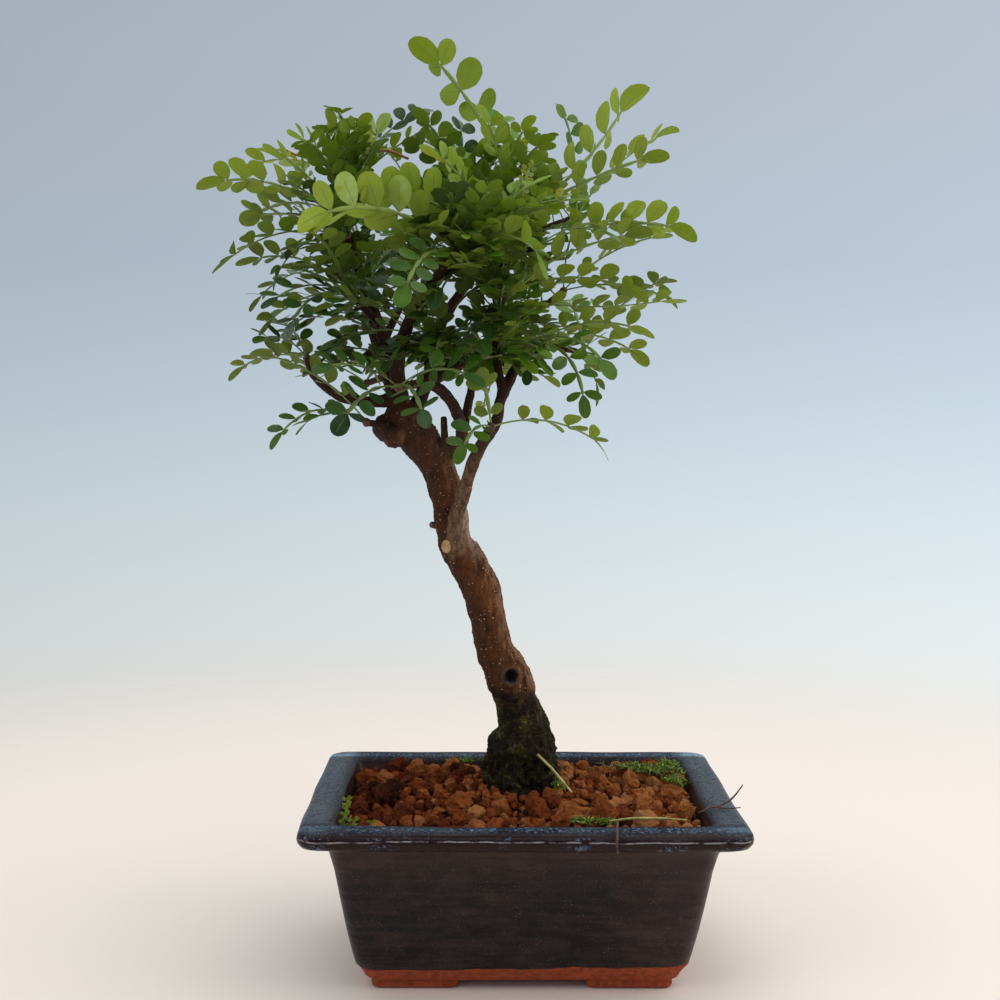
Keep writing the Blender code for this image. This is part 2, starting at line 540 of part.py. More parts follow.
def frond_blade(frond, skip=0.0):
    """Corners, normals and triangles of a frond's middle surface, its leaflets cut to the rib."""
    start, tip, arch, lift, pairs = frond
    share = np.concatenate([[skip], np.linspace(PAIRS_START, PAIRS_END, pairs + 1)])
    place, side, normal, tangent = frond_points(start, tip, arch, lift, share)
    step = np.linalg.norm(place[2] - place[1])
    verts = [p + s * sign * RIB_WIDE / 2 for p, s in zip(place, side) for sign in (-1, 1)]
    normals = [n for n in normal for _ in (0, 1)]
    faces = []
    for k in range(pairs + 1):
        a, b, c, d = 2 * k, 2 * k + 1, 2 * k + 3, 2 * k + 2
        faces += [(a, b, c), (a, c, d)]
    rise = math.radians(LEAFLET_RISE)
    for k in range(1, pairs + 1):
        size = 1.0 - 0.10 * abs(k - pairs / 2)
        for sign, near, far in ((-1, 2 * k, 2 * k + 2), (1, 2 * k + 1, 2 * k + 3)):
            out = side[k] * sign * math.cos(rise) + normal[k] * math.sin(rise)
            out = unit(out + tangent[k] * LEAFLET_FORWARD)
            root = (verts[near] + verts[far]) / 2
            half = tangent[k] * step * LEAFLET_HALF
            reach = out * LEAFLET_LONG * size
            first = len(verts)
            widest = root + reach * LEAFLET_WIDEST
            verts += [widest - half, root + reach, widest + half]
            flat = unit(np.cross(tangent[k], out))
            normals += [flat if flat @ normal[k] > 0 else -flat] * 3
            cut = [(near, first, first + 2), (first, first + 1, first + 2), (near, first + 2, far)]
            faces += cut if sign > 0 else [face[::-1] for face in cut]
    end = np.array(tip, dtype=float)
    left, right = 2 * pairs + 2, 2 * pairs + 3
    first = len(verts)
    middle = place[-1] + (end - place[-1]) * LEAFLET_WIDEST
    verts += [middle - side[-1] * END_LEAFLET_HALF, end, middle + side[-1] * END_LEAFLET_HALF]
    normals += [normal[-1]] * 3
    faces += [(left, right, first + 2), (left, first + 2, first), (first, first + 2, first + 1)]
    return np.array(verts), np.array(normals), faces


def blade_shell(frond, half, skip=0.0):
    """A closed skin round a frond's blade, for telling whether it is clear of something."""
    verts, normals, faces = frond_blade(frond, skip)
    count = len(verts)
    skin = list(faces) + [tuple(i + count for i in reversed(face)) for face in faces]
    edges = {edge for a, b, c in faces for edge in ((a, b), (b, c), (c, a))}
    skin += [(a, a + count, b + count, b) for a, b in sorted(edges) if (b, a) not in edges]
    both = np.concatenate([verts + normals * half, verts - normals * half])
    return BVHTree.FromPolygons([tuple(v) for v in both], skin)


def bud_ball(place, radius):
    """Corners and faces of a bud's ball."""
    work = bmesh.new()
    bmesh.ops.create_icosphere(work, subdivisions=1, radius=radius)
    bmesh.ops.translate(work, verts=work.verts, vec=place)
    verts = [tuple(v.co) for v in work.verts]
    faces = [tuple(v.index for v in face.verts) for face in work.faces]
    work.free()
    return verts, faces


def is_clear(frond, bud, wood, balls, grown):
    """Whether a frond keeps off the wood, the other buds and every frond that has grown."""
    long = np.linalg.norm(frond[1] - frond[0])
    if blade_shell(frond, CLEAR_HALF, NEAR_TWIG / long).overlap(wood):
        return False
    whole = blade_shell(frond, CLEAR_HALF)
    if any(name != bud and whole.overlap(ball) for name, ball in balls.items()):
        return False
    leafy = blade_shell(frond, CLEAR_HALF, LEAFY_START)
    for other, other_whole, other_leafy in grown:
        if leafy.overlap(other_leafy) if other == bud else whole.overlap(other_whole):
            return False
    return True


def grow(bud, choices, wood, balls, grown, sprays):
    """Keep the first of a frond's choices that is clear of all that stands already."""
    for frond in choices:
        if is_clear(frond, bud, wood, balls, grown):
            grown.append((bud, blade_shell(frond, CLEAR_HALF), blade_shell(frond, CLEAR_HALF, LEAFY_START)))
            sprays[bud].append(frond)
            return True
    return False


def listed_choices(start, tip, arch, lift, pairs):
    """A listed frond, then the same one bent forward or back and turned, then a shorter one."""
    for long in LISTED_SHARES:
        for push in LISTED_PUSHES:
            for turn in LISTED_TURNS:
                end = start + (tip + (0, push * MM, 0) - start) * long
                yield start, end, arch * long, lift + turn, pairs


def filling_choices(start, turns, number):
    """A frond of the crown's filling: round the way out of the crown, turned until it is clear."""
    out = unit(start - np.array(CROWN_HEART))
    across = unit(np.cross(out, (0.0, 0.0, 1.0)))
    other = np.cross(out, across)
    for long in FILLING_LENGTHS:
        for lean in FILLING_LEANS:
            for turn in FILLING_TURNS:
                angle = math.radians(turns + GOLDEN * number + turn)
                ahead = unit(out * lean + across * math.cos(angle) + other * math.sin(angle) + UPWARD)
                tip = start + ahead * long
                if np.linalg.norm((tip - CROWN_MIDDLE) / CROWN_HALF) < 1.0 and tip[2] > CROWN_LOW:
                    yield start, tip, FILLING_ARCH * long, FILLING_LIFTS[number % 4], FILLING_PAIRS


def grow_crown(skins):
    """Every frond of the tree: the listed ones first, then the crown's filling, each turned clear."""
    verts, faces = [], []
    for skin_verts, skin_faces in skins:
        faces += [tuple(i + len(verts) for i in face) for face in skin_faces]
        verts += skin_verts
    wood = BVHTree.FromPolygons(verts, faces)
    balls = {name: BVHTree.FromPolygons(*bud_ball(metres(place), BUD_RADIUS + 2 * FIT_GAP))
             for name, (place, _) in BUDS.items()}
    grown, sprays = [], {name: [] for name in BUDS}
    lost = []
    for bud, tip, arch, lift, pairs in FRONDS:
        choices = listed_choices(metres(BUDS[bud][0]), metres(tip), arch * MM, lift, pairs)
        if not grow(bud, choices, wood, balls, grown, sprays):
            lost.append(f"{bud} to {tip}")
    for order, (bud, (place, more)) in enumerate(BUDS.items()):
        for number in range(more):
            choices = filling_choices(metres(place), BUD_STEP * order, number)
            if not grow(bud, choices, wood, balls, grown, sprays):
                lost.append(f"{bud} number {number}")
    print(f"{len(grown)} fronds grew; no room for {len(lost)}: {', '.join(lost)}")
    return sprays


def make_frond(frond, bench):
    """One frond's blade: its middle surface, with its thickness."""
    verts, _, faces = frond_blade(frond)
    blade = add_object("frond", verts, faces, bench)
    wall = blade.modifiers.new("wall", "SOLIDIFY")
    wall.thickness = BLADE_THICK
    wall.offset = 0.0
    wall.use_even_offset = True
    return blade


def make_spray(name, place, fronds, parts, bench, leaf):
    """A bud and all the fronds that it carries, as one piece."""
    spray = add_object(name, *bud_ball(place, BUD_RADIUS), parts, leaf)
    join(spray, [make_frond(frond, bench) for frond in fronds])
    return spray


def main():
    for thing in list(bpy.data.objects):
        bpy.data.objects.remove(thing, do_unlink=True)
    parts = bpy.data.collections.new("chinese_pepper_bonsai")
    bench = bpy.data.collections.new("bench")
    bpy.context.scene.collection.children.link(parts)
    bpy.context.scene.collection.children.link(bench)

    glaze = paint("blue_black_glaze", (0.016, 0.020, 0.030), 0.30, 0.5)
    plastic = paint("green_plastic_net", (0.020, 0.060, 0.030), 0.5)
    earth = paint("baked_clay_soil", (0.190, 0.062, 0.026), 0.9)
    bark = paint("bark", (0.110, 0.055, 0.034), 0.8)
    leaf = paint("leaf", (0.060, 0.150, 0.020), 0.4)

    pieces = [make_pot(parts, bench, glaze)]
    pieces.append(make_screen("drain_screen_left", -DRAIN_X, parts, plastic))
    pieces.append(make_screen("drain_screen_right", DRAIN_X, parts, plastic))
    pieces.append(make_soil(parts, bench, earth))
    trunk, skins = make_trunk(parts, bench, bark)
    pieces.append(trunk)
    sprays = grow_crown(skins)
    for number, (bud, fronds) in enumerate(sprays.items(), start=1):
        if fronds:
            name = f"spray_{number:02d}"
            pieces.append(make_spray(name, metres(BUDS[bud][0]), fronds, parts, bench, leaf))
    bpy.data.collections.remove(bench)

    stand = bpy.data.objects.new("pot_middle", None)
    parts.objects.link(stand)
    stand.location = (POT_X, POT_Y, 0.0)
    for piece in pieces:
        piece.parent = stand


main()
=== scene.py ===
# %% [markdown]
# # Chinese pepper bonsai
# A small leaning tree with feathery leaves, in a blue-black glazed pot that is filled with baked clay. The packed
# part gives the size and the place of every solid. This script loads it as a fixed frame and builds each piece that
# is seen in fine detail, in the same place. Lengths are metres. Listed places are in millimetres from the middle of
# the pot's foot, with X to the right, Y away from the front and Z up.

# %% Start: the tools and the imported frame
import math

import bpy
import numpy as np
from mathutils import Matrix, Vector
from mathutils.kdtree import KDTree


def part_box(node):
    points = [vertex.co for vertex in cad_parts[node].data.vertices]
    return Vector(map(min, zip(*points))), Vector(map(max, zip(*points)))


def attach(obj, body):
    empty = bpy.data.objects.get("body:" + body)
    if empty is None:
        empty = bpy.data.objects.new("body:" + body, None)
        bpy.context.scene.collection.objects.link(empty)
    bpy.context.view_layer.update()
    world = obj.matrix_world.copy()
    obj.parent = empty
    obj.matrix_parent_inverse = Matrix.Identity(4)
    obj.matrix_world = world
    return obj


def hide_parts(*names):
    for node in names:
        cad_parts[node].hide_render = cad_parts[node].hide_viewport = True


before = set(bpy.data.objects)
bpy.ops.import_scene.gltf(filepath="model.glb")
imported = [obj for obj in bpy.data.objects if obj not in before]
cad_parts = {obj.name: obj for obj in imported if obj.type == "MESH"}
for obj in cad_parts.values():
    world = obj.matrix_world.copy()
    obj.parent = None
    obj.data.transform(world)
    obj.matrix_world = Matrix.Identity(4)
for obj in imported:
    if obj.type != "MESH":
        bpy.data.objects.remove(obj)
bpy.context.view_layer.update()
MM = 0.001
low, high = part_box("pot")
POT = np.array(((low.x + high.x) / 2, (low.y + high.y) / 2, 0.0))
print("pot's middle in millimetres:", np.round(POT / MM, 2), "nodes:", len(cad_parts))

# %% [markdown]
# ## The camera
# The photograph was taken from a little above the rim, 0.47 m in front of the pot, with a lens of middling length.
# Its tilt, turn and lens are numbers found by lining up the pot's rim and feet, and are all that the view needs.

# %% Camera
EYE = (-15.5, -471.3, 200.2)
TURN, TILT, ROLL = 0.015, 0.0755, 0.008
SENSOR, LENS = 36.0, 47.88

camera = bpy.data.objects.new("camera", bpy.data.cameras.new("camera"))
bpy.context.scene.collection.objects.link(camera)
camera.data.sensor_width, camera.data.lens = SENSOR, LENS
camera.data.clip_start = 0.01
camera.location = Vector(POT + np.array(EYE) * MM)
turned = Matrix.Rotation(-TURN, 3, "Z") @ Matrix.Rotation(math.pi / 2 - TILT, 3, "X")
camera.rotation_euler = (turned @ Matrix.Rotation(ROLL, 3, "Z")).to_euler()
bpy.context.scene.camera = camera
print("camera at", np.round(camera.location, 4))

# %% [markdown]
# ## Shader sums as Python sums
# A finish is easier to read as arithmetic than as a list of nodes and links. A Wire holds one output of a node, and
# its operators add the Math nodes that a sum needs. A Finish holds a material and adds every other node with one
# method: the kind of node, its settings, and the values or wires of its sockets.


# %% Wires and finishes
class Wire:
    """One output of a node, for use in sums: each operator adds a Math node and gives that node's result."""

    def __init__(self, finish, socket):
        self.finish, self.socket = finish, socket

    def math(self, operation, *terms):
        """The result of a Math node with that operation on the terms."""
        return self.finish.node("ShaderNodeMath", {"operation": operation}, dict(enumerate(terms)))

    def __add__(self, other):
        return self.math("ADD", self, other)

    def __sub__(self, other):
        return self.math("SUBTRACT", self, other)

    def __rsub__(self, other):
        return self.math("SUBTRACT", other, self)

    def __mul__(self, other):
        return self.math("MULTIPLY", self, other)

    __radd__ = __add__

    def size(self):
        """The value without its sign."""
        return self.math("ABSOLUTE", self)

    def between(self, start, end):
        """0 up to start and 1 from end on, with a smooth step; the other way round where end is the lower."""
        flip = end < start
        settings = {"interpolation_type": "SMOOTHSTEP"}
        step = self.finish.node("ShaderNodeMapRange", settings,
                                {"Value": self, "From Min": min(start, end), "From Max": max(start, end)})
        return 1 - step if flip else step


class Nodes:
    """A node tree under construction."""

    def __init__(self, tree):
        self.tree = tree

    def node(self, kind, settings=None, sockets=None, output=0):
        """Adds a node, puts in its settings and then the values or wires of its sockets, and gives an output."""
        made = self.tree.nodes.new(kind)
        for name, value in (settings or {}).items():
            if name == "stops":
                ramp = made.color_ramp.elements
                while len(ramp) < len(value):
                    ramp.new(0.5)
                for stop, (position, colour) in zip(ramp, value):
                    stop.position, stop.color = position, (*colour, 1.0)
            else:
                setattr(made, name, value)
        for name, value in (sockets or {}).items():
            self.put(made.inputs[name], value)
        return Wire(self, made.outputs[output])

    def put(self, socket, value):
        """Links a wire to a socket, or gives the socket a value."""
        if isinstance(value, Wire):
            self.tree.links.new(value.socket, socket)
        elif socket.type == "RGBA" and len(value) == 3:
            socket.default_value = (*value, 1.0)
        else:
            socket.default_value = value

    def ramp(self, share, *stops):
        """The colour at a share of a row of colours, given as stops of a position and a colour."""
        return self.node("ShaderNodeValToRGB", {"stops": stops}, {0: share})

    def part(self, letter, vector):
        """One coordinate of a vector."""
        return self.node("ShaderNodeSeparateXYZ", sockets={0: vector}, output=letter)


class Finish(Nodes):
    """A material under construction. Its place is the spot on the piece, in millimetres from the pot's middle."""

    def __init__(self, name):
        self.material = bpy.data.materials.new(name)
        self.material.use_nodes = True
        super().__init__(self.material.node_tree)
        self.shader = self.tree.nodes["Principled BSDF"]
        spot = self.node("ShaderNodeTexCoord", output="Object")
        spot = self.node("ShaderNodeVectorMath", {"operation": "SUBTRACT"}, {0: spot, 1: tuple(POT)})
        self.place = self.node("ShaderNodeVectorMath", {"operation": "SCALE"}, {0: spot, "Scale": 1 / MM})

    def along(self, letter):
        """One coordinate of the place."""
        return self.part(letter, self.place)

    def value(self, name):
        """A number that the mesh carries at each corner."""
        return self.node("ShaderNodeAttribute", {"attribute_name": name}, output="Fac")

    def stretch(self, *amounts):
        """The place, multiplied along X, Y and Z."""
        return self.node("ShaderNodeVectorMath", {"operation": "MULTIPLY"}, {0: self.place, 1: amounts})

    def noise(self, size, detail=2.0, rough=0.5, place=None):
        """Soft noise from 0 to 1, with lumps about as wide as the size in millimetres."""
        return self.node("ShaderNodeTexNoise", {}, {
            "Vector": place or self.place, "Scale": 1 / size, "Detail": detail, "Roughness": rough})

    def cells(self, size, place=None):
        """The distance to the middle of the nearest Voronoi cell, in cells that are about as wide as the size in
        millimetres. It is 0 at the middle, so that a low limit leaves a round dot in each cell."""
        return self.node("ShaderNodeTexVoronoi", {}, {"Vector": place or self.place, "Scale": 1 / size})

    def mix(self, share, first, second):
        """One colour at share 0, the other at share 1."""
        return self.node("ShaderNodeMix", {"data_type": "RGBA"}, {0: share, 6: first, 7: second}, 2)

    def bump(self, height, millimetres):
        """A normal for a relief of that height."""
        return self.node("ShaderNodeBump", {}, {"Height": height, "Distance": millimetres * MM, "Strength": 1.0})

    def coat(self, **sockets):
        """Gives the shader's sockets their values, with _ for the space in a socket's name."""
        for name, value in sockets.items():
            self.put(self.shader.inputs[name.replace("_", " ")], value)


def plain_finish(name, size, dark, pale, roughness, grain=0.5, relief=0.1):
    """A dull finish that goes from a dark to a pale colour with soft noise of the size, and has a fine grain."""
    made = Finish(name)
    made.coat(Base_Color=made.ramp(made.noise(size, 3, 0.6), (0.35, dark), (0.65, pale)), Roughness=roughness,
              Normal=made.bump(made.noise(grain, 2), relief))
    return made


print("wires and finishes are ready")

# %% [markdown]
# ## Surfaces from numbers
# Nearly every piece is a skin carried along a path: an oval at each point, and a pole at each end so that the skin
# is closed. The ovals are worked out for the whole path at once. One helper gives the faces of such a skin, and one
# puts the corners, the faces and the numbers that the finishes read into a mesh.


# %% Skins and pieces
def closed_faces(rows, around):
    """Faces of a closed skin: a fan round the first pole, four-cornered faces between rings, a fan at the end."""
    spot = np.arange(around)
    after = (spot + 1) % around
    start = 1 + np.arange(rows - 1)[:, None] * around
    quads = np.stack([start + spot, start + after, start + around + after, start + around + spot], axis=-1)
    last = 1 + (rows - 1) * around
    first_fan = np.stack([np.zeros(around, int), 1 + after, 1 + spot], axis=-1)
    last_fan = np.stack([np.full(around, last + around), last + spot, last + after], axis=-1)
    return [first_fan, quads.reshape(-1, 4), last_fan]


def copies(faces, corners, count):
    """The same faces for several shapes whose corners stand one after the other."""
    shift = np.arange(count)[:, None, None] * corners
    return [(block[None] + shift).reshape(-1, block.shape[1]) for block in faces]


def sweep(path, side, other, half_side, half_other, around=8):
    """A closed skin: at each point of the path an oval, cos(angle) times one half width along the side direction
    plus sin(angle) times the other half width along the other direction."""
    angle = 2 * np.pi * np.arange(around) / around
    across = np.cos(angle)[None, :, None] * (half_side[:, None] * side)[:, None]
    up = np.sin(angle)[None, :, None] * (half_other[:, None] * other)[:, None]
    rings = path[:, None] + across + up
    points = np.concatenate([path[:1], rings.reshape(-1, 3), path[-1:]])
    return points, closed_faces(len(path), around)


def unit(vectors):
    """Vectors of length 1 in the same directions."""
    vectors = np.asarray(vectors, float)
    return vectors / np.linalg.norm(vectors, axis=-1, keepdims=True)


def smooth_rows(rows, step):
    """The rows joined by smooth curves: between two rows, a cubic that leaves and arrives along the line between
    the rows on either side, cut into steps of about the given length."""
    rows = np.asarray(rows, float)
    slopes = np.gradient(rows, axis=0)
    counts = np.maximum(2, np.linalg.norm(np.diff(rows[:, :3], axis=0), axis=1) / step).astype(int)
    index = np.repeat(np.arange(len(rows) - 1), counts)
    share = np.concatenate([np.arange(n) / n for n in counts])
    index, share = np.append(index, len(rows) - 2), np.append(share, 1.0)[:, None]
    a, b = rows[index], rows[index + 1]
    p, q = slopes[index], slopes[index + 1]
    return ((2 * share**3 - 3 * share**2 + 1) * a + (share**3 - 2 * share**2 + share) * p
            + (3 * share**2 - 2 * share**3) * b + (share**3 - share**2) * q)


def path_frames(path):
    """Two directions across a path at each of its points, that turn with it as little as they can."""
    ahead = unit(np.gradient(path, axis=0))
    side = [unit(np.cross(ahead[0], (0.0, 1.0, 0.1)))]
    for direction in ahead[1:]:
        side.append(unit(side[-1] - direction * np.dot(side[-1], direction)))
    side = np.array(side)
    return side, np.cross(ahead, side)


def tube(rows, step, around=8):
    """A closed round skin along rows of x, y, z and radius."""
    rows = smooth_rows(rows, step)
    side, other = path_frames(rows[:, :3])
    return sweep(rows[:, :3], side, other, rows[:, 3], rows[:, 3], around)


def gather(shapes):
    """One set of corners and faces from several."""
    points, faces, count = [], [], 0
    for some, blocks in shapes:
        points.append(some)
        faces += [block + count for block in blocks]
        count += len(some)
    return np.concatenate(points), faces


def add_mesh(name, points, faces, finishes, numbers=None, finish_of=None, smooth=True):
    """An object from corner places in the pot's frame, blocks of faces and the numbers at its corners."""
    mesh = bpy.data.meshes.new(name)
    mesh.from_pydata((points + POT).tolist(), [], [face for block in faces for face in block.tolist()])
    for finish in finishes:
        mesh.materials.append(finish)
    if finish_of is not None:
        mesh.polygons.foreach_set("material_index", finish_of.astype(np.int32))
    for key, values in (numbers or {}).items():
        mesh.attributes.new(key, "FLOAT", "POINT").data.foreach_set("value", values.astype(np.float32))
    mesh.polygons.foreach_set("use_smooth", np.full(len(mesh.polygons), smooth))
    thing = bpy.data.objects.new(name, mesh)
    bpy.context.scene.collection.objects.link(thing)
    return thing


def corners_of(mesh, key="co"):
    """The places or the normals of a mesh's corners as an array."""
    values = np.empty(3 * len(mesh.vertices), np.float32)
    mesh.vertices.foreach_get(key, values)
    return values.reshape(-1, 3).astype(float)


def mount(piece, slot, *nodes):
    """The piece rides on the one body and stands for the nodes named. The slot is not used."""
    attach(piece, "root")
    if nodes:
        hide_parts(*nodes)
    count = sum(len(p.vertices) - 2 for p in piece.data.polygons)
    print(f"{piece.name}: {count} triangles")


def lumps(points, size, seed, waves=24):
    """A smooth random number at each point, mostly from -1 to 1: the sum of plane waves that run in random
    directions and are each about as long as the size, which is in the points' own unit."""
    draw = np.random.default_rng(seed)
    ways = unit(draw.normal(size=(waves, 3))).T * 2 * np.pi / (size * draw.uniform(0.6, 1.5, waves))
    return np.cos(points @ ways + draw.uniform(0, 2 * np.pi, waves)).sum(axis=1) / math.sqrt(2 * waves)


print("surface helpers are ready")

# %% [markdown]
# ## Room, floor and light
# The tree stands on a pale table before a backdrop that goes from warm white up to blue grey. A world whose colour
# follows the height of the line of sight gives that backdrop on every side, so no wall is needed. It grows brighter
# to the right, as in the photograph. As a light it is also brighter from behind, which the camera doesn't see, so
# that leaves and rim catch a pale edge. The table is a disc that grows clear towards its edge, so it has no visible
# end. Large soft lamps stand for the studio's lamps: one overhead, one on the right that makes the trunk's right
# side pale, and a weak one on the left.

# %% World
BACKDROP = [(0.17, (0.87, 0.79, 0.72)), (0.25, (0.80, 0.78, 0.73)), (0.34, (0.71, 0.76, 0.77)),
            (0.42, (0.62, 0.71, 0.75)), (0.50, (0.53, 0.625, 0.70)), (0.60, (0.455, 0.53, 0.615)),
            (0.78, (0.435, 0.48, 0.55))]
ROOM_LIGHT, BEHIND, TO_RIGHT = 0.92, 0.26, 0.34

world = bpy.data.worlds.new("backdrop")
bpy.context.scene.world = world
world.use_nodes = True
sky = Nodes(world.node_tree)
sight = sky.node("ShaderNodeTexCoord", output="Generated")
height = sky.part("Z", sight) + 0.5
sky.put(world.node_tree.nodes["Background"].inputs["Color"], sky.ramp(height, *BACKDROP))
seen = sky.node("ShaderNodeLightPath", output="Is Camera Ray")
room = (sky.part("Y", sight) * BEHIND + 1) * ROOM_LIGHT
sky.put(world.node_tree.nodes["Background"].inputs["Strength"],
        (seen * (1 - room) + room) * (sky.part("X", sight) * TO_RIGHT + 1))
bpy.context.scene.view_settings.view_transform = "Standard"
print("the backdrop has", len(BACKDROP), "colours")

# %% Floor and lamps
# Where the table starts to grow clear and is gone, in millimetres; its rings, corners round and drop, in metres.
FLOOR_SOLID, FLOOR_CLEAR = 240.0, 640.0
FLOOR_RINGS, FLOOR_ROUND, FLOOR_DROP = (0.15, 0.3, 0.6, 1.0), 64, 0.0001

angle = np.linspace(0, 2 * np.pi, FLOOR_ROUND, endpoint=False)
edge = np.stack([np.cos(angle), np.sin(angle), np.zeros(FLOOR_ROUND)], axis=1)
discs = (np.array(FLOOR_RINGS)[:, None, None] * edge).reshape(-1, 3)
disc_faces = closed_faces(len(FLOOR_RINGS), FLOOR_ROUND)[:2]
table = Finish("pale_table")
away = table.node("ShaderNodeVectorMath", {"operation": "LENGTH"}, {0: table.place}, "Value")
table.coat(Base_Color=(0.83, 0.738, 0.655), Roughness=0.7, Alpha=away.between(FLOOR_CLEAR, FLOOR_SOLID))
floor = add_mesh("floor", np.concatenate([[(0, 0, 0)], discs]) - (0, 0, FLOOR_DROP), disc_faces, [table.material])


def lamp(name, place, aim, side, watts, colour=(1, 1, 1)):
    """A square soft lamp that faces a point; places in metres from the pot's middle."""
    light = bpy.data.lights.new(name, "AREA")
    light.shape, light.size, light.energy, light.color = "SQUARE", side, watts, colour
    thing = bpy.data.objects.new(name, light)
    bpy.context.scene.collection.objects.link(thing)
    thing.location = Vector(POT) + Vector(place)
    thing.rotation_euler = (Vector(place) - Vector(aim)).to_track_quat("Z", "Y").to_euler()


lamp("lamp_above", (0.05, 0.12, 0.95), (-0.02, 0, 0.15), 1.4, 8.0, (1.0, 0.99, 0.95))
lamp("lamp_right", (0.80, -0.15, 0.50), (0, 0, 0.15), 0.5, 2.8, (1.0, 0.95, 0.88))
lamp("lamp_left", (-0.8, -0.4, 0.5), (0, 0, 0.15), 0.6, 2.6)
print("floor and three lamps")

# %% [markdown]
# ## The pot's shape
# The pot is a slip-cast rectangle with round corners, a wide flat rim and four low feet. Its skin is one grid: an
# outline that runs round the pot, carried along a profile that goes from the middle of the underside, up the wall,
# over the rim and down inside. Both ends of the profile are poles, so the skin is closed. A soft wobble makes it
# look pressed by hand. The feet are added and the two drain holes taken away with Boolean modifiers, which leave a
# clean solid.

# %% Pot profile and outline
# Rows of half width, half depth, corner radius and height, in millimetres.
POT_ROWS = [
    (1, 0.6, 0.4, 3.0), (28, 16, 4, 3.0), (50, 29.2, 5.5, 3.0), (53.2, 32.2, 6.2, 3.1), (54.2, 33.2, 6.4, 3.7),
    (54.6, 33.6, 6.6, 4.8), (56.5, 35.5, 7.0, 7.9), (57.2, 36.2, 7.2, 8.7), (58.3, 37.1, 7.2, 13.0),
    (60.0, 38.7, 7.0, 21.0), (62.0, 40.4, 6.6, 33.0), (63.6, 41.8, 6.0, 43.0), (65.2, 43.2, 5.6, 49.6),
    (66.6, 44.6, 5.5, 52.0), (69.0, 47.0, 5.5, 53.3), (72.2, 50.2, 5.5, 53.9), (74.0, 52.0, 5.8, 54.7),
    (74.8, 52.8, 6.0, 56.0), (75.0, 53.0, 6.0, 57.3), (74.7, 52.7, 5.9, 58.6), (74.0, 52.0, 5.6, 59.4),
    (72.8, 50.8, 5.2, 59.9), (69.0, 47.0, 4.6, 60.1), (65.6, 43.2, 4.2, 60.0), (64.2, 41.7, 4.0, 59.7),
    (63.2, 40.7, 3.6, 58.9), (62.7, 40.1, 3.4, 57.6), (59.0, 36.5, 4.0, 42.0), (54.0, 32.5, 4.6, 24.0),
    (50.5, 30.0, 5.0, 11.0), (49.0, 28.5, 5.0, 9.5), (30, 17, 4, 9.5), (1, 0.6, 0.4, 9.5),
]
ROW_STEP = 3.0
WOBBLE, WOBBLE_LONG, STEADY = (0.45, 0.40, 0.30), 50, 20


def cut_rows(rows, step):
    """The rows joined by straight lines, each cut into pieces no longer than the step."""
    rows = np.asarray(rows, float)
    counts = np.ceil(np.linalg.norm(np.diff(rows, axis=0), axis=1) / step).astype(int)
    index = np.repeat(np.arange(len(rows) - 1), counts)
    share = np.concatenate([np.arange(n) / n for n in counts])[:, None]
    return np.concatenate([rows[index] * (1 - share) + rows[index + 1] * share, rows[-1:]])


def outline(corner, long, short):
    """A rectangle's outline with round corners, as four numbers a point: which way its corner's middle lies from
    the centre along X and Y, from -1 to 1, and the direction from there, as a cosine and a sine."""
    parts = []
    ways = [(1, 1), (-1, 1), (-1, -1), (1, -1)]
    for quarter, (x, y) in enumerate(ways):
        turn = np.linspace(0, np.pi / 2, corner) + quarter * np.pi / 2
        parts.append(np.stack([np.full(corner, x), np.full(corner, y), np.cos(turn), np.sin(turn)], axis=1))
        after = ways[(quarter + 1) % 4]
        share = np.linspace(0, 1, (short if quarter % 2 else long) + 2)[1:-1, None]
        middle = (x, y) * (1 - share) + np.array(after) * share
        parts.append(np.concatenate([middle, np.tile([[np.cos(turn[-1]), np.sin(turn[-1])]], (len(share), 1))], 1))
    return np.concatenate(parts)


def rounded_skin(rows, around):
    """Closed skin of rounded rectangles: for each row of half width, half depth, corner and height, a point is the
    corner's middle plus the corner radius in the outline's direction."""
    wide, deep, corner, z = (column[:, None] for column in np.asarray(rows, float).T * MM)
    x_way, y_way, cosine, sine = around.T
    x, y = x_way * (wide - corner) + corner * cosine, y_way * (deep - corner) + corner * sine
    rings = np.stack([x, y, np.broadcast_to(z, x.shape)], axis=-1)
    poles = [[(0.0, 0.0, float(z[0, 0]))], [(0.0, 0.0, float(z[-1, 0]))]]
    return np.concatenate([poles[0], rings.reshape(-1, 3), poles[1]]), closed_faces(len(rings), len(around))


def hand_pressed(points):
    """A soft wobble of a third of a millimetre, which fades out at the foot so that the pot stands flat."""
    fade = np.clip(points[:, 2] / (STEADY * MM), 0, 1)[:, None]
    push = np.stack([lumps(points, WOBBLE_LONG * MM, seed) for seed in (21, 22, 23)], axis=1)
    return points + push * fade * WOBBLE * MM


print("the pot's profile has", len(cut_rows(POT_ROWS, ROW_STEP)), "rows")

# %% Pot: skin, feet and drain holes
FEET = [(x, y) for x in (-36.5, 36.5) for y in (-25.2, 25.2)]
FOOT_ROWS = [(1, 1, 0.5, 0.0), (13.8, 5.8, 2.4, 0.0), (14.7, 6.7, 2.8, 0.4), (15.0, 7.0, 3.0, 1.2),
             (15.0, 7.0, 3.0, 4.0), (1, 1, 0.5, 4.0)]
DRAINS, DRAIN_RADIUS, DRAIN_FROM, DRAIN_TO = (-26, 26), 6, -4, 16


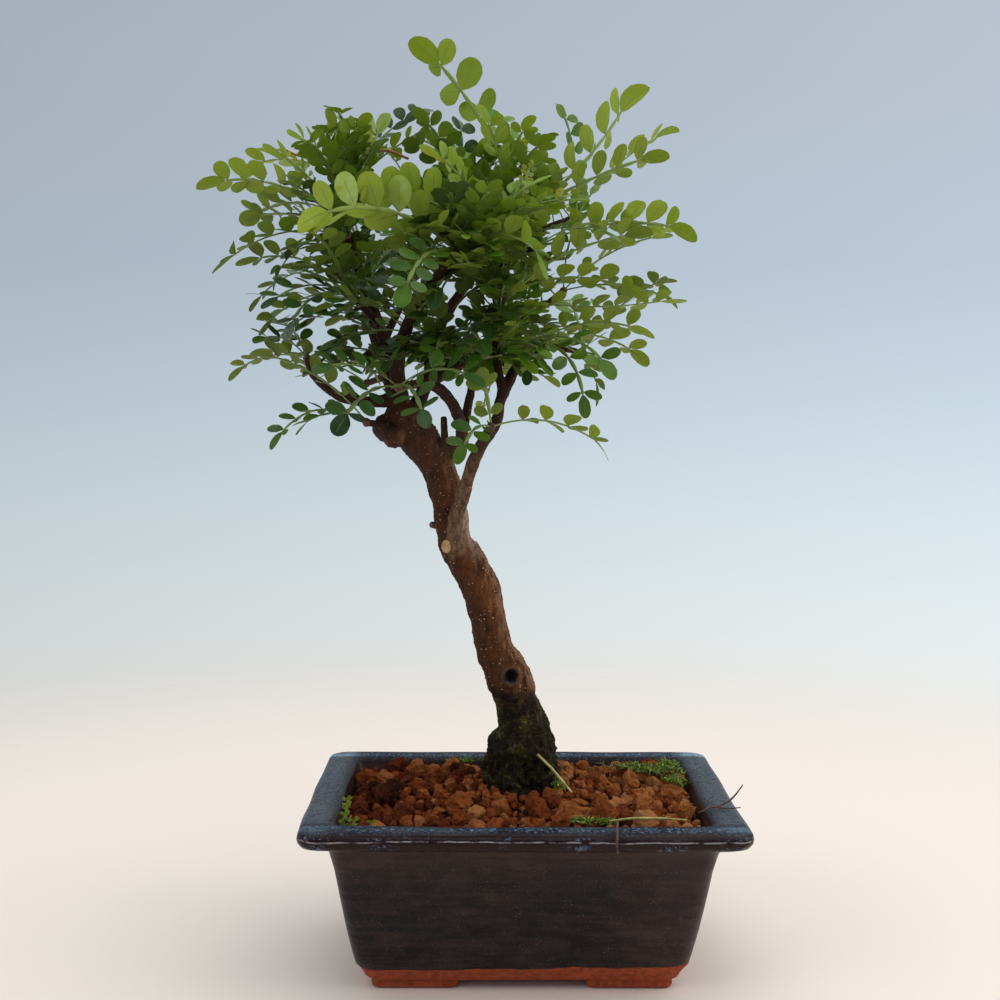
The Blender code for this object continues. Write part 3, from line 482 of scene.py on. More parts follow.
def joined(base, extras, operation):
    """The base's mesh after one Boolean with the extras, which are then removed."""
    team = bpy.data.collections.new("extras")
    for extra in extras:
        bpy.context.scene.collection.objects.unlink(extra)
        team.objects.link(extra)
    change = base.modifiers.new("join", "BOOLEAN")
    change.operation, change.operand_type, change.collection, change.solver = (
        operation, "COLLECTION", team, "MANIFOLD")
    bpy.context.view_layer.update()
    graph = bpy.context.evaluated_depsgraph_get()
    mesh = bpy.data.meshes.new_from_object(base.evaluated_get(graph), depsgraph=graph)
    base.modifiers.clear()
    base.data = mesh
    for extra in extras:
        bpy.data.objects.remove(extra)
    bpy.data.collections.remove(team)


skin, faces = rounded_skin(cut_rows(POT_ROWS, ROW_STEP), outline(9, 34, 22))
pot = add_mesh("glazed_pot", hand_pressed(skin), faces, [])
foot_skin, foot_faces = rounded_skin(FOOT_ROWS, outline(5, 2, 1))
joined(pot, [add_mesh("foot", foot_skin + (x * MM, y * MM, 0), foot_faces, []) for x, y in FEET], "UNION")
drains = []
for x in DRAINS:
    hole = [(x, 0, DRAIN_FROM), (x, 0, DRAIN_TO)]
    side, other = np.tile((1.0, 0, 0), (2, 1)), np.tile((0, 1.0, 0), (2, 1))
    width = np.full(2, DRAIN_RADIUS * MM)
    drains.append(add_mesh("drain", *sweep(np.array(hole) * MM, side, other, width, width, 32), []))
joined(pot, drains, "DIFFERENCE")
print("pot corners:", len(pot.data.vertices))

# %% [markdown]
# ## The pot's glaze
# The real pot is dipped in an iron-black glaze. On the wall it is slate black with faint purple-brown and blue-black
# clouds and tiny pale stars, and it is painted lighter towards the top and the right as painted light. On the rim's
# left and right it is steel blue with duller blotches, partly the glaze's colour and partly a painted reflection. The
# rim's front and back are nearly black with bright blue flecks. Small dark pits dot all of the rim, and its outer half
# turns brown. Where the glaze thins out over the edges it breaks to brown, with a pale broken line along the lip that
# is a painted highlight. It stops in an uneven line above the foot, and bare red clay shows below. One finish does all
# of this from the place on the pot and from noise, so that the bands meet without seams.

# %% Glaze
BODY_DARK, BODY_CLOUD_AND_LIGHT, STAR = (0.0092, 0.0060, 0.0058), (0.056, 0.033, 0.029), (0.260, 0.240, 0.240)
RIM_STEEL_AND_REFLECTION, RIM_DARK, RIM_FLECK = (0.225, 0.325, 0.390), (0.004, 0.004, 0.007), (0.150, 0.265, 0.440)
RIM_PIT, RIM_BLOTCH, BODY_BLUE = (0.008, 0.009, 0.012), (0.060, 0.115, 0.160), (0.011, 0.013, 0.019)
EDGE_BROWN, EDGE_HIGHLIGHT = (0.014, 0.0028, 0.0030), (0.420, 0.380, 0.390)
CLAY, CLAY_DARK, CLAY_PALE = (0.360, 0.072, 0.026), (0.210, 0.042, 0.018), (0.450, 0.190, 0.090)
# Heights in millimetres: the middle of the band round the lip where the glaze is thin, the painted highlight line in
# it, the start and the end of the change from lip to rim, and the glaze's lower edge. LONGER is how much the pot's
# half width exceeds its half depth, so that reach, the greater of the two distances, is the same all along an edge.
THIN_AT, LINE_AT, RIM_FROM, RIM_TO, GLAZE_END = 57.2, 57.9, 58.8, 60.0, 8.9
LONGER = 22

glaze = Finish("blue_black_glaze")
x, y, z = (glaze.along(letter) for letter in "XYZ")
reach = (x.size() - LONGER).math("MAXIMUM", y.size())
outer, front = reach.between(50.2, 51.4), y.between(-39, -43)
cloud = glaze.noise(11, 5, 0.65, glaze.stretch(1, 1, 2.0)).between(0.42, 0.68)
throwing = glaze.noise(6, 4, 0.65, glaze.stretch(0.18, 0.18, 3.2)).between(0.40, 0.74)
mottle = glaze.noise(1.0, 4, 0.75).between(0.45, 0.75)
# Painted light: the wall is painted lighter towards the top and towards the right, in the clouds' colour.
painted_light_top_right = z.between(34, 55) * 0.55 + x.between(20, 66) * 0.50
body = glaze.mix(cloud * 0.34 + mottle * 0.36 + throwing * 0.30 + painted_light_top_right, BODY_DARK, BODY_CLOUD_AND_LIGHT)
body = glaze.mix(glaze.noise(18, 3).between(0.48, 0.66) * 0.28, body, BODY_BLUE)
star = glaze.cells(0.8).between(0.20, 0.06) * glaze.noise(5, 3).between(0.42, 0.62)
body = glaze.mix(star * 0.60, body, STAR)
flecks = glaze.noise(1.3, 3, 0.75).between(0.53, 0.60)
drift = glaze.noise(9, 3, 0.6)
side_rim = (x.size() + drift * 6).between(63, 72) * (1 - front * 0.75)
# The rim's sides are painted steel blue: partly the glaze's colour and partly a painted reflection of the room.
rim = glaze.mix(side_rim * 0.90 + (1 - front) * 0.03 + drift.between(0.62, 0.40) * 0.12, RIM_DARK, RIM_STEEL_AND_REFLECTION)
rim = glaze.mix(glaze.noise(5, 4, 0.7).between(0.46, 0.66) * side_rim * 0.60, rim, RIM_BLOTCH)
rim = glaze.mix(flecks * drift.between(0.22, 0.42) * (0.9 - side_rim * 0.50), rim, RIM_FLECK)
rim = glaze.mix(reach.between(46.5, 50.5) * (0.70 - side_rim * 0.60), rim, EDGE_BROWN)
pitted = glaze.noise(1.1, 4, 0.8, glaze.stretch(1, 1, 0.5)).between(0.54, 0.64)
rim = glaze.mix(pitted * (0.9 - side_rim * 0.35), rim, RIM_PIT)
on_rim = (z + glaze.noise(3, 3)).between(RIM_FROM, RIM_TO)
colour = glaze.mix(on_rim, body, rim)
thin = (z - THIN_AT + (glaze.noise(6, 2) - 0.5) * 1.2).size().between(2.9, 2.2) * reach.between(46, 49)
colour = glaze.mix(thin, colour, EDGE_BROWN)
lip = flecks * (glaze.noise(11, 2) + side_rim * 0.3).between(0.50, 0.66)
colour = glaze.mix(lip * (z - 55.8).size().between(1.7, 0.5) * outer * 0.50, colour, RIM_FLECK)
colour = glaze.mix(lip * (z - 58.9).size().between(0.7, 0.2) * outer * 0.6, colour, RIM_FLECK)
# Painted highlight: a pale broken line along the lip.
broken = glaze.noise(4.5, 4, 0.70).between(0.36, 0.60)
line = (z - LINE_AT + (glaze.noise(8, 2) - 0.5) * 1.1).size().between(0.34, 0.08) * broken
colour = glaze.mix(line * outer * 0.65, colour, EDGE_HIGHLIGHT)
inner_edge = reach.between(44.6, 42.6) * z.between(56.5, 58.5)
colour = glaze.mix(inner_edge * 0.8, colour, EDGE_BROWN)
bare = (z - x * 0.02 + (glaze.noise(11, 3, 0.6) - 0.5) * 2.2).between(GLAZE_END, GLAZE_END - 0.4)
clay = glaze.mix(glaze.noise(2.2, 4, 0.65).between(0.35, 0.7), CLAY, CLAY_DARK)
clay = glaze.mix(glaze.noise(0.8, 2).between(0.66, 0.72) * 0.5, clay, CLAY_PALE)
colour = glaze.mix(bare, colour, clay)
relief = glaze.noise(2.4, 3, 0.55) * 0.16 + glaze.noise(12, 2) * 0.5
relief = relief + (flecks * 0.20 - pitted * 0.45) * on_rim + throwing * 0.10
relief = relief + thin * glaze.noise(4, 3, 0.6) * 0.5 - bare * 0.25 + bare * glaze.noise(0.35, 2) * 0.12
rough = 0.30 + on_rim * (0.34 - side_rim * 0.18 + pitted * 0.25) + mottle * 0.12 - thin * 0.12 + bare * 0.45
glaze.coat(Base_Color=colour, Roughness=rough, Specular_IOR_Level=0.14, Normal=glaze.bump(relief, 1.0),
           Coat_Weight=thin * 0.14 + on_rim * side_rim * 0.15, Coat_Roughness=0.06)
pot.data.materials.clear()
pot.data.materials.append(glaze.material)
pot.data.polygons.foreach_set("use_smooth", np.full(len(pot.data.polygons), True))
mount(pot, "glaze", "pot")

# %% [markdown]
# ## The net over the drain holes
# Two squares of green plastic net keep the soil in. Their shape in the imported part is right, so they stay and only
# get a finish: green plastic with a little dirt in it.

# %% Net
net = Finish("green_plastic_net")
dirt = net.noise(2.5, 3, 0.7).between(0.5, 0.75)
net.coat(Base_Color=net.mix(dirt, (0.02, 0.09, 0.04), (0.06, 0.035, 0.02)), Roughness=0.45 + dirt * 0.4,
         Normal=net.bump(net.noise(0.7, 2), 0.1))
for name in ("drain_screen_left", "drain_screen_right"):
    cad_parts[name].material_slots[0].material = net.material
print("the net has its finish")

# %% [markdown]
# ## The soil
# The pot is filled with dark earth and topped with granules of baked clay from one to ten millimetres wide. They
# are highest round the trunk. The earth is one closed skin of rounded rectangles. Each granule starts as a coarse
# ball that is cut flat by random planes and dented, which makes it a rough lump with blunt corners; flat shading
# keeps its edges crisp. The granules are worked out together as arrays, large ones first, and small ones fill the
# gaps between them.

# %% Soil height and the earth
FOOT_CENTRE = np.array((0.3, 6.2))
EDGE_LEVEL, MOUND, MOUND_HALF = 56.2, 5.5, (45, 30)
BED_TOP, BED_LUMP = 54.2, 6
BED_ROWS = [
    (1, 0.6, 0.4, 10.9), (30, 17, 4, 10.9), (49.2, 28.7, 4.8, 10.9), (49.9, 29.4, 5.0, 11.6), (55.4, 33.8, 4.8, 32),
    (60.9, 38.5, 4.8, 53.4), (61.1, 38.7, 4.6, 54.0), (60.4, 38.0, 4.5, BED_TOP), (52, 32, 5, BED_TOP),
    (40, 25, 6, BED_TOP), (25, 16, 6, BED_TOP), (12, 8, 4, BED_TOP), (1, 0.6, 0.4, BED_TOP),
]


def soil_level(x, y):
    """Height of the soil in millimetres: the edge's level plus a mound, a bell curve of the distance to the trunk."""
    reach = np.hypot((x - FOOT_CENTRE[0]) / MOUND_HALF[0], (y - FOOT_CENTRE[1]) / MOUND_HALF[1])
    return EDGE_LEVEL + MOUND * np.exp(-reach**2)


earth_skin, faces = rounded_skin(cut_rows(BED_ROWS, ROW_STEP), outline(4, 20, 14))
top = earth_skin[:, 2] > (BED_TOP - 0.1) * MM
rise = soil_level(*(earth_skin[:, :2].T / MM)) - EDGE_LEVEL + lumps(earth_skin, BED_LUMP * MM, 31)
earth_skin[:, 2] += top * rise * MM

humus = Finish("dark_earth")
colour = humus.ramp(humus.noise(3, 4, 0.7), (0.35, (0.010, 0.006, 0.004)), (0.70, (0.055, 0.024, 0.014)))
crumbs = humus.cells(1.6) * -0.6 + humus.noise(0.6, 3) * 0.3
humus.coat(Base_Color=colour, Roughness=0.95, Specular_IOR_Level=0.05, Normal=humus.bump(crumbs, 1.0))
mount(add_mesh("earth", earth_skin, faces, [humus.material]), "soil")

# %% Granules
# How many granules there are of each size, with their smallest and largest radius.
SIZES = [(46, 3.2, 5.0), (120, 2.2, 3.2), (220, 1.4, 2.2), (260, 0.7, 1.4)]
CROWD, SPREAD, TRIES, TRUNK_FOOT = 0.80, (61.6, 39.2), 60, (12.9, 11.8)
FINE = SIZES[0][0]
# At which shares of a granule's radius its planes lie, how it is stretched, and how much and how finely it is dented.
PLANES_AT, STRETCH, DENT, DENT_LONG = (0.55, 0.92), (0.80, 1.25), 0.24, 0.7


def scatter(draw, sizes):
    """Places in plan and radii of the granules: each is drawn at random and kept where it keeps off the trunk and
    lies at least the crowd share of both radii away from every granule that is there already."""
    placed = np.zeros((0, 3))
    for count, small, large in sizes:
        wanted = len(placed) + count
        for _ in range(TRIES * count):
            radius = draw.uniform(small, large)
            spot = draw.uniform(-1, 1, 2) * (np.array(SPREAD) - radius * 0.95)
            clear = np.hypot(*((spot - FOOT_CENTRE) / (np.array(TRUNK_FOOT) + radius * 0.8))) > 1
            apart = np.hypot(*(placed[:, :2] - spot).T) > CROWD * (placed[:, 2] + radius)
            if clear and apart.all() and len(placed) < wanted:
                placed = np.append(placed, [[*spot, radius]], axis=0)
    return placed


def random_turns(draw, count):
    """Rotation matrices of random unit quaternions."""
    w, x, y, z = unit(draw.normal(size=(count, 4))).T
    rows = [1 - 2 * (y * y + z * z), 2 * (x * y - z * w), 2 * (x * z + y * w),
            2 * (x * y + z * w), 1 - 2 * (x * x + z * z), 2 * (y * z - x * w),
            2 * (x * z - y * w), 2 * (y * z + x * w), 1 - 2 * (x * x + y * y)]
    return np.stack(rows, axis=1).reshape(count, 3, 3)


def ball_skin(rows, around):
    """A closed ball of radius 1: rings whose height goes with the cosine and radius with the sine of an angle."""
    angle = np.linspace(0, np.pi, rows + 2)[1:-1]
    turn = 2 * np.pi * (np.arange(around)[None] + 0.5 * (np.arange(rows) % 2)[:, None]) / around
    wide, up = np.sin(angle)[:, None], -np.cos(angle)[:, None]
    rings = np.stack([wide * np.cos(turn), wide * np.sin(turn), np.broadcast_to(up, turn.shape)], -1)
    return np.concatenate([[(0, 0, -1)], rings.reshape(-1, 3), [(0, 0, 1)]]), closed_faces(rows, around)


def crushed(draw, spots, rows, around, cuts):
    """Corners and faces of granules: a ball is cut flat by random planes, then dented by lumps, stretched, turned
    and put in its place. It sits deeper the smaller it is."""
    ball, faces = ball_skin(rows, around)
    count = len(spots)
    planes = unit(draw.normal(size=(count, cuts, 3)))
    depth = draw.uniform(*PLANES_AT, (count, cuts))
    toward = np.einsum("vk,npk->nvp", ball, planes)
    shrink = np.where(toward > depth[:, None], depth[:, None] / np.maximum(toward, 1e-6), 1.0).min(axis=2)
    chips = ball * shrink[:, :, None] * draw.uniform(*STRETCH, (count, 1, 3))
    apart = (chips + 9.0 * np.arange(count)[:, None, None]).reshape(-1, 3)
    dents = lumps(apart, DENT_LONG, 33).reshape(count, -1, 1)
    chips = np.einsum("nvk,njk->nvj", chips * (1 + DENT * dents), random_turns(draw, count))
    level = soil_level(spots[:, 0], spots[:, 1]) - 1.6 + 0.34 * spots[:, 2] + draw.uniform(-0.8, 0.8, count)
    centres = np.column_stack([spots[:, :2], level])
    corners = (chips * spots[:, 2, None, None] * 1.08 + centres[:, None]).reshape(-1, 3) * MM
    # Painted light: granules further right get a paler tone, added to each one's own random tone.
    tone_and_light = np.repeat(0.90 * draw.beta(2.2, 2.6, count) + 0.10 + 0.25 * spots[:, 0] / SPREAD[0], len(ball))
    return corners, copies(faces, len(ball), count), tone_and_light


draw = np.random.default_rng(7)
spots = scatter(draw, SIZES)
large, small = crushed(draw, spots[:FINE], 9, 14, 11), crushed(draw, spots[FINE:], 4, 8, 8)

baked = Finish("baked_clay")
tone = baked.value("tone")
grain = baked.noise(1.3, 5, 0.78)
shade = tone + (grain - 0.5) * 1.1
colour = baked.ramp(shade, (0.0, (0.040, 0.010, 0.005)), (0.22, (0.150, 0.032, 0.011)), (0.48, (0.310, 0.078, 0.020)),
                    (0.76, (0.480, 0.165, 0.050)), (1.0, (0.540, 0.235, 0.085)))
colour = baked.mix(baked.noise(0.5, 4, 0.85).between(0.58, 0.70) * 0.65, colour, (0.030, 0.009, 0.005))
pits = baked.cells(0.9).between(0.30, 0.10)
baked.coat(Base_Color=colour, Roughness=0.95, Specular_IOR_Level=0.05,
           Normal=baked.bump(grain * 2.4 - pits * 0.5 + baked.noise(0.45, 3, 0.7) * 0.9, 1.0))
corners, faces = gather([large[:2], small[:2]])
granules = add_mesh("clay_granules", corners, faces, [baked.material],
                    {"tone": np.concatenate([large[2], small[2]])}, smooth=False)
mount(granules, "soil", "soil")
print(len(spots), "granules")

# %% [markdown]
# ## The wood
# The trunk leans left, swells at old pruning scars and ends in a blunt chop, and thin limbs rise from it. Each is a
# round tube along a few listed rows. A voxel remesh melts the tubes into one skin, as wood grows together at a
# fork. Then every corner is moved along its normal by a formula: ridges at the foot, furrows, small swellings, the
# collar and the pit of the old knot. Numbers at the corners tell the finish how thick the wood is, and where the knot
# and the saw cut are.

# %% Rows of the trunk and its limbs
# x, y, z and radius in millimetres. A limb has a name for the reader, the bud that it ends in, if any, and its rows.
TRUNK = [
    (0.4, 6, 66, 12.8), (0.5, 6, 74, 12.5), (0.9, 6, 79, 10.6), (0.4, 6, 84, 8.6), (-1.8, 6, 91, 8.0),
    (-5, 6, 100, 8.2), (-9.6, 6, 110, 6.9), (-12.3, 5, 120, 6.4), (-15, 4, 132, 6.9), (-20.0, 3, 142, 6.8),
    (-24.0, 3, 148, 6.1), (-25.6, 3, 157, 6.0), (-27.6, 3, 167, 5.9), (-31, 3, 177, 6.2),
    (-36, 3, 184, 6.8), (-41, 3, 190, 7.2), (-44, 3, 196, 6.0), (-45, 3, 199, 3.6),
]
ROOT = [(0.3, 6.2, 36, 11.0), (0.3, 6.2, 50, 12.6), (0.2, 6.1, 60, 12.9)]
LIMBS = [
    ("front", "h4", [(-24.5, 0, 141, 1.6), (-24.9, -3.2, 150, 2.6), (-23.8, -5.6, 159, 2.6),
                     (-21.6, -8, 166, 2.5), (-19.4, -10.8, 174, 2.3), (-16, -14, 183, 2.2),
                     (-10, -16, 193, 2.1), (-9, -14, 199, 1.9), (-6, -10, 206, 2.0), (-1, -3, 215, 1.5)]),
    ("front_fork", "h5", [(-8, -13, 202, 1.6), (-10, -10, 214, 1.4), (-10, -8, 226, 1.2)]),
    ("front_spur", "h7", [(-15, -15, 186, 1.5), (-13.5, -20, 188, 1.3)]),
    ("middle", "h8", [(-30, 2, 180, 3.2), (-23, 0, 183, 2.5), (-22, -3, 189, 2.2), (-24, -8, 196, 2.1),
                      (-28, -13, 202, 2.0), (-33, -18, 205, 1.8), (-39, -23, 205, 1.5)]),
    ("knobbly", "hk", [(-22, -1, 187, 1.8), (-20, 0, 198, 1.6), (-18, 2, 208, 1.4)]),
    ("dead_stub", None, [(-28, 0, 182, 1.5), (-28.5, -3, 194, 1.2)]),
    ("rear", "h3", [(-42, 5, 192, 3.8), (-37, 9, 201, 2.7), (-34, 12, 210, 2.4), (-33, 14, 220, 2.2),
                    (-28, 15, 231, 2.0), (-20, 16, 243, 1.8), (-9, 12, 256, 1.6)]),
    ("top_right", "ht1", [(-14, 14, 250, 1.5), (-10, 12, 264, 1.3)]),
    ("top_middle", "ht2", [(-20, 16, 243, 1.6), (-23, 18, 258, 1.3)]),
    ("top_front", "hr", [(-18, 15, 245, 1.5), (-7, 5, 249, 1.3)]),
    ("top_back", "hb8", [(-9, 12, 256, 1.4), (6, 18, 262, 1.2)]),
    ("leader", "h1", [(-43, 4, 193, 4.6), (-44.5, 2, 203, 3.2), (-45, 0, 212, 2.7), (-42.5, -6, 221, 2.4),
                      (-39, -12, 229, 2.2), (-32, -21, 238, 2.1), (-27, -29, 244, 2.0)]),
    ("leader_fork", "h1b", [(-30, -24, 240, 1.6), (-20, -28, 246, 1.3)]),
    ("left", "h2", [(-45, 1, 209, 2.3), (-51, 4, 224, 2.2), (-56, 4, 238, 1.9), (-60, 0, 249, 1.6)]),
    ("left_upper", "hp", [(-58, 2, 244, 1.6), (-65, 5, 257, 1.4)]),
    ("left_top", "ht3", [(-63, 4, 254, 1.4), (-66, 11, 268, 1.2)]),
    ("left_rear", "ht4", [(-65, 9, 265, 1.4), (-64, 21, 274, 1.2)]),
    ("left_spur", "h10", [(-51, 4, 226, 1.6), (-56, -4, 231, 1.3)]),
    ("left_back", "hx", [(-56, 4, 237, 1.6), (-64, 14, 242, 1.3)]),
    ("low_left", "hl2", [(-45, 1, 200, 2.8), (-54, -3, 199, 2.0), (-63, -5, 200, 1.7), (-70, -4, 204, 1.5),
                         (-75, -1, 209, 1.3)]),
    ("low_stub", None, [(-58, -4, 199.5, 1.4), (-64, -7, 205, 1.1)]),
    ("low_spur", "h6", [(-45, 0, 189, 2.0), (-51, -6, 191, 1.5)]),
    ("centre", "h9", [(-33, 13, 214, 1.7), (-30, 6, 218, 1.4)]),
    ("back_left", "hb1", [(-42, 6, 193, 3.6), (-48, 18, 204, 2.6), (-54, 30, 218, 2.0), (-58, 37, 230, 1.5)]),
    ("back_low", "hb7", [(-50, 22, 209, 1.7), (-55, 30, 207, 1.3)]),
    ("back_top", "hb2", [(-54, 29, 217, 1.8), (-46, 39, 236, 1.4)]),
    ("back_right", "hb4", [(-35, 11, 206, 2.8), (-22, 22, 214, 2.2), (-8, 32, 224, 1.8), (6, 38, 234, 1.4)]),
    ("back_side", "hb5", [(-9, 31, 223, 1.6), (8, 33, 221, 1.3)]),
    ("back_mid", "hb6", [(-23, 21, 213, 1.6), (-25, 35, 213, 1.3)]),
    ("back_high", "hb3", [(-8, 32, 224, 1.6), (-11, 39, 244, 1.3)]),
]
STUBS = [[(-23, -1, 148, 2.9), (-27.4, -5.6, 148.4, 2.7)], [(-30, 0, 155, 1.3), (-33, -2, 156, 1.3)]]
BURL = [(-49, 2, 190, 5.0), (-46, -3, 187, 4.2)]
KNOT, KNOT_RADIUS = np.array((-4.0, -1.8, 101.5)), 3.0

# The buds that the fronds grow from, and how many fronds fill the crown from each beside the listed ones.
BUDS = {
    "h1": ((-24, -36, 248), 2), "h1b": ((-12, -27, 250), 2), "h2": ((-62, -6, 256), 1),
    "h3": ((-1, 4, 265), 1), "h4": ((4, 2, 221), 1), "h5": ((-8, -6, 236), 1),
    "h6": ((-55, -10, 192), 1), "h7": ((-12, -25, 191), 0), "h8": ((-43, -27, 204), 1),
    "h9": ((-27, -1, 222), 1), "h10": ((-61, -11, 236), 1), "hp": ((-71, 6, 267), 0),
    "ht1": ((-6, 8, 276), 1), "ht2": ((-22, 16, 275), 2), "ht3": ((-68, 14, 280), 0),
    "ht4": ((-62, 31, 284), 1),
    "hr": ((3, -4, 253), 1), "hk": ((-16, 4, 219), 2), "hl2": ((-77, 3, 214), 2),
    "hx": ((-71, 22, 246), 1), "hb1": ((-61, 43, 238), 3), "hb2": ((-39, 46, 254), 4),
    "hb3": ((-13, 44, 263), 3), "hb4": ((16, 43, 242), 3), "hb5": ((23, 33, 218), 3),
    "hb6": ((-27, 48, 214), 3), "hb7": ((-59, 37, 206), 3), "hb8": ((19, 22, 267), 1),
}
print(len(LIMBS), "limbs and", len(BUDS), "buds")

# %% Melt the tubes into one skin
VOXEL = 0.58 * MM
TWIG_END = 1.2


def limb_rows(bud, rows):
    """A limb's rows, with one more at its bud where it has one."""
    return np.array(rows + ([(*BUDS[bud][0], TWIG_END)] if bud else []), float) * MM


def knob(x, y, z, radius):
    """Rows of a ball: heights go with minus the cosine, radii with the sine."""
    turn = np.linspace(0.15, np.pi - 0.15, 9)
    return np.column_stack([np.full(9, x), np.full(9, y), z - radius * np.cos(turn), radius * np.sin(turn)]) * MM


wood_rows = [np.array(ROOT + TRUNK, float) * MM]
wood_rows += [limb_rows(bud, rows) for _, bud, rows in LIMBS] + [np.array(rows) * MM for rows in STUBS]
shapes = [tube(rows, 1.5 * MM, 28 if rows[:, 3].max() > 5 * MM else 14) for rows in wood_rows]
shapes += [tube(knob(*row), 1.5 * MM, 18) for row in BURL]
raw = add_mesh("raw_wood", *gather(shapes), [])
melt = raw.modifiers.new("melt", "REMESH")
melt.mode, melt.voxel_size = "VOXEL", VOXEL
soften = raw.modifiers.new("soften", "SMOOTH")
soften.factor, soften.iterations = 0.5, 3
bpy.context.view_layer.update()
wood_mesh = bpy.data.meshes.new_from_object(raw.evaluated_get(bpy.context.evaluated_depsgraph_get()))
bpy.data.objects.remove(raw)
print("melted wood:", len(wood_mesh.polygons), "faces")

# %% Bark relief and its numbers
axis_rows = np.concatenate([smooth_rows(rows, 1.5 * MM) for rows in wood_rows])
skin = corners_of(wood_mesh) - POT
normals = corners_of(wood_mesh, "normal")
nearest = np.concatenate([
    np.argmin(np.linalg.norm(block[:, None] - axis_rows[None, :, :3], axis=2) - axis_rows[None, :, 3], axis=1)
    for block in np.array_split(skin, 1 + len(skin) // 4000)])
girth = axis_rows[nearest, 3] / MM
z = skin[:, 2] / MM

FOOT_TOP, FOOT_TALL, WAIST = 88, 22, 93.5
foot = np.clip((FOOT_TOP - z) / FOOT_TALL, 0, 1)
turn = np.arctan2(skin[:, 1] - 6 * MM, skin[:, 0])
amount = np.clip(girth / 7, 0.16, 1.0)
push = amount * (0.42 * lumps(skin, 0.007, 41) + 0.16 * lumps(skin * (1, 1, 0.35), 0.0022, 42))
push += amount * 0.14 * lumps(skin, 0.0012, 43)
push += foot * (np.cos(5 * turn + 0.6 + z * 0.05) + 1.1 * lumps(skin, 0.006, 44) + 0.9 * lumps(skin, 0.0026, 45))
push += (girth < 3) * 0.16 * np.clip(lumps(skin, 0.0035, 46), 0, 1)
off = np.linalg.norm(skin / MM - KNOT, axis=1)
push += 0.6 * np.exp(-((off - KNOT_RADIUS) / 0.9)**2) - 3.0 * np.exp(-(off / 1.9)**4)
push += 0.22 * np.cos(off * 2.1) * np.clip((11 - off) / 5, 0, 1) * (off > 4)
push -= 0.8 * np.exp(-((z - WAIST - 1.6 * lumps(skin, 0.010, 47)) / 1.3)**2)
skin = skin + normals * push[:, None] * MM

# The saw cut's number is 0 away from the cut and falls outwards from its middle.
CUT_RADIUS, CUT_DEPTH, CUT_MIDDLE, KNOT_FAR = 2.9, 0.55, 4.0, 20.0
cut_end, cut_axis = np.array(STUBS[0][1][:3], float), unit(np.subtract(STUBS[0][1][:3], STUBS[0][0][:3]))
from_cut = skin / MM - cut_end
cut_off = np.linalg.norm(from_cut, axis=1)
cut = (cut_off < CUT_RADIUS) & (from_cut @ cut_axis > -CUT_DEPTH)
faces = [np.array([p.vertices[:] for p in wood_mesh.polygons])]
numbers = {"girth": girth, "cut": cut * (CUT_MIDDLE - cut_off), "knot": np.minimum(off, KNOT_FAR)}
print("bark relief from", round(push.min(), 2), "to", round(push.max(), 2), "mm")

# %% [markdown]
# ## Bark
# The bark is thin and smooth: red-brown with a pale bloom and rows of pale raised dots, through which the wood
# breathes. It is painted darker where it faces left and lighter where it faces right, as painted shade and light, and
# grey on the right below the fork, partly grey bark and partly painted light. Painted shade darkens the trunk high up
# under the crown. It is dark on the thin limbs, and the twigs in the crown are darker still, partly painted shade. It
# is black in a crease over the foot, as painted shade, and black-green with moss and damp at the foot. The knot has
# wrinkles with painted shade in them and a collar round a hollow painted black as shade. The saw cut shows pale wood
# with a darker rim.

# %% Bark finish
BLOOM, GREY_AND_PAINTED_LIGHT = (0.220, 0.104, 0.046), (0.330, 0.250, 0.195)
LEFT_PAINTED_SHADE, RIGHT_PAINTED_LIGHT = (0.026, 0.009, 0.004), (0.350, 0.190, 0.100)
UPPER_SHADE_DARK, UPPER_SHADE_PALE = (0.030, 0.012, 0.008), (0.080, 0.034, 0.020)
TWIG_SHADE_DARK, TWIG_SHADE_PALE = (0.012, 0.005, 0.003), (0.050, 0.020, 0.011)
LIMB_DARK, LIMB_PALE = (0.036, 0.018, 0.008), (0.210, 0.116, 0.062)
DOT, DOT_SHADOW, SPECK = (0.500, 0.290, 0.140), (0.024, 0.010, 0.006), (0.016, 0.007, 0.004)
CREASE_SHADE, WRINKLE_SHADE, COLLAR = (0.010, 0.006, 0.004), (0.040, 0.018, 0.010), (0.095, 0.062, 0.040)
HOLLOW_SHADE, SAWN_DARK, SAWN_PALE = (0.004, 0.003, 0.002), (0.240, 0.105, 0.038), (0.600, 0.370, 0.185)
SAWN_RIM = (0.120, 0.055, 0.028)
# Heights in millimetres: where painted shade under the crown starts to darken the trunk and where it is full, the same
# for the thin limbs as they turn to dark twigs, the middle of the grey patch, the crease, and where damp starts and is
# full. Then the radii of wood that counts as thick and as thin.
UPPER, LIMB_TO_TWIG, GREY_AT, CREASE_AT, DAMP, THIN_WOOD = (158, 188), (168, 192), 157, 94, (98, 87), (5.0, 3.0)

bark = Finish("bark")
girth_of, knot, cut_of = (bark.value(name) for name in ("girth", "knot", "cut"))
x, z = bark.along("X"), bark.along("Z")
streak = bark.noise(2.0, 5, 0.70, bark.stretch(1, 1, 0.3))
patch = bark.noise(7, 4, 0.65)
grain = bark.noise(0.6, 4, 0.75)
colour = bark.ramp(streak * 0.45 + patch * 0.55, (0.38, (0.020, 0.006, 0.002)), (0.47, (0.074, 0.022, 0.005)),
                   (0.60, (0.140, 0.044, 0.011)), (0.72, (0.220, 0.092, 0.034)))
upper = z.between(*UPPER)
bloom = bark.noise(5, 4, 0.65, bark.stretch(1, 1, 0.4)).between(0.48, 0.72)
colour = bark.mix(bloom * 0.20 * (1 - upper), colour, BLOOM)
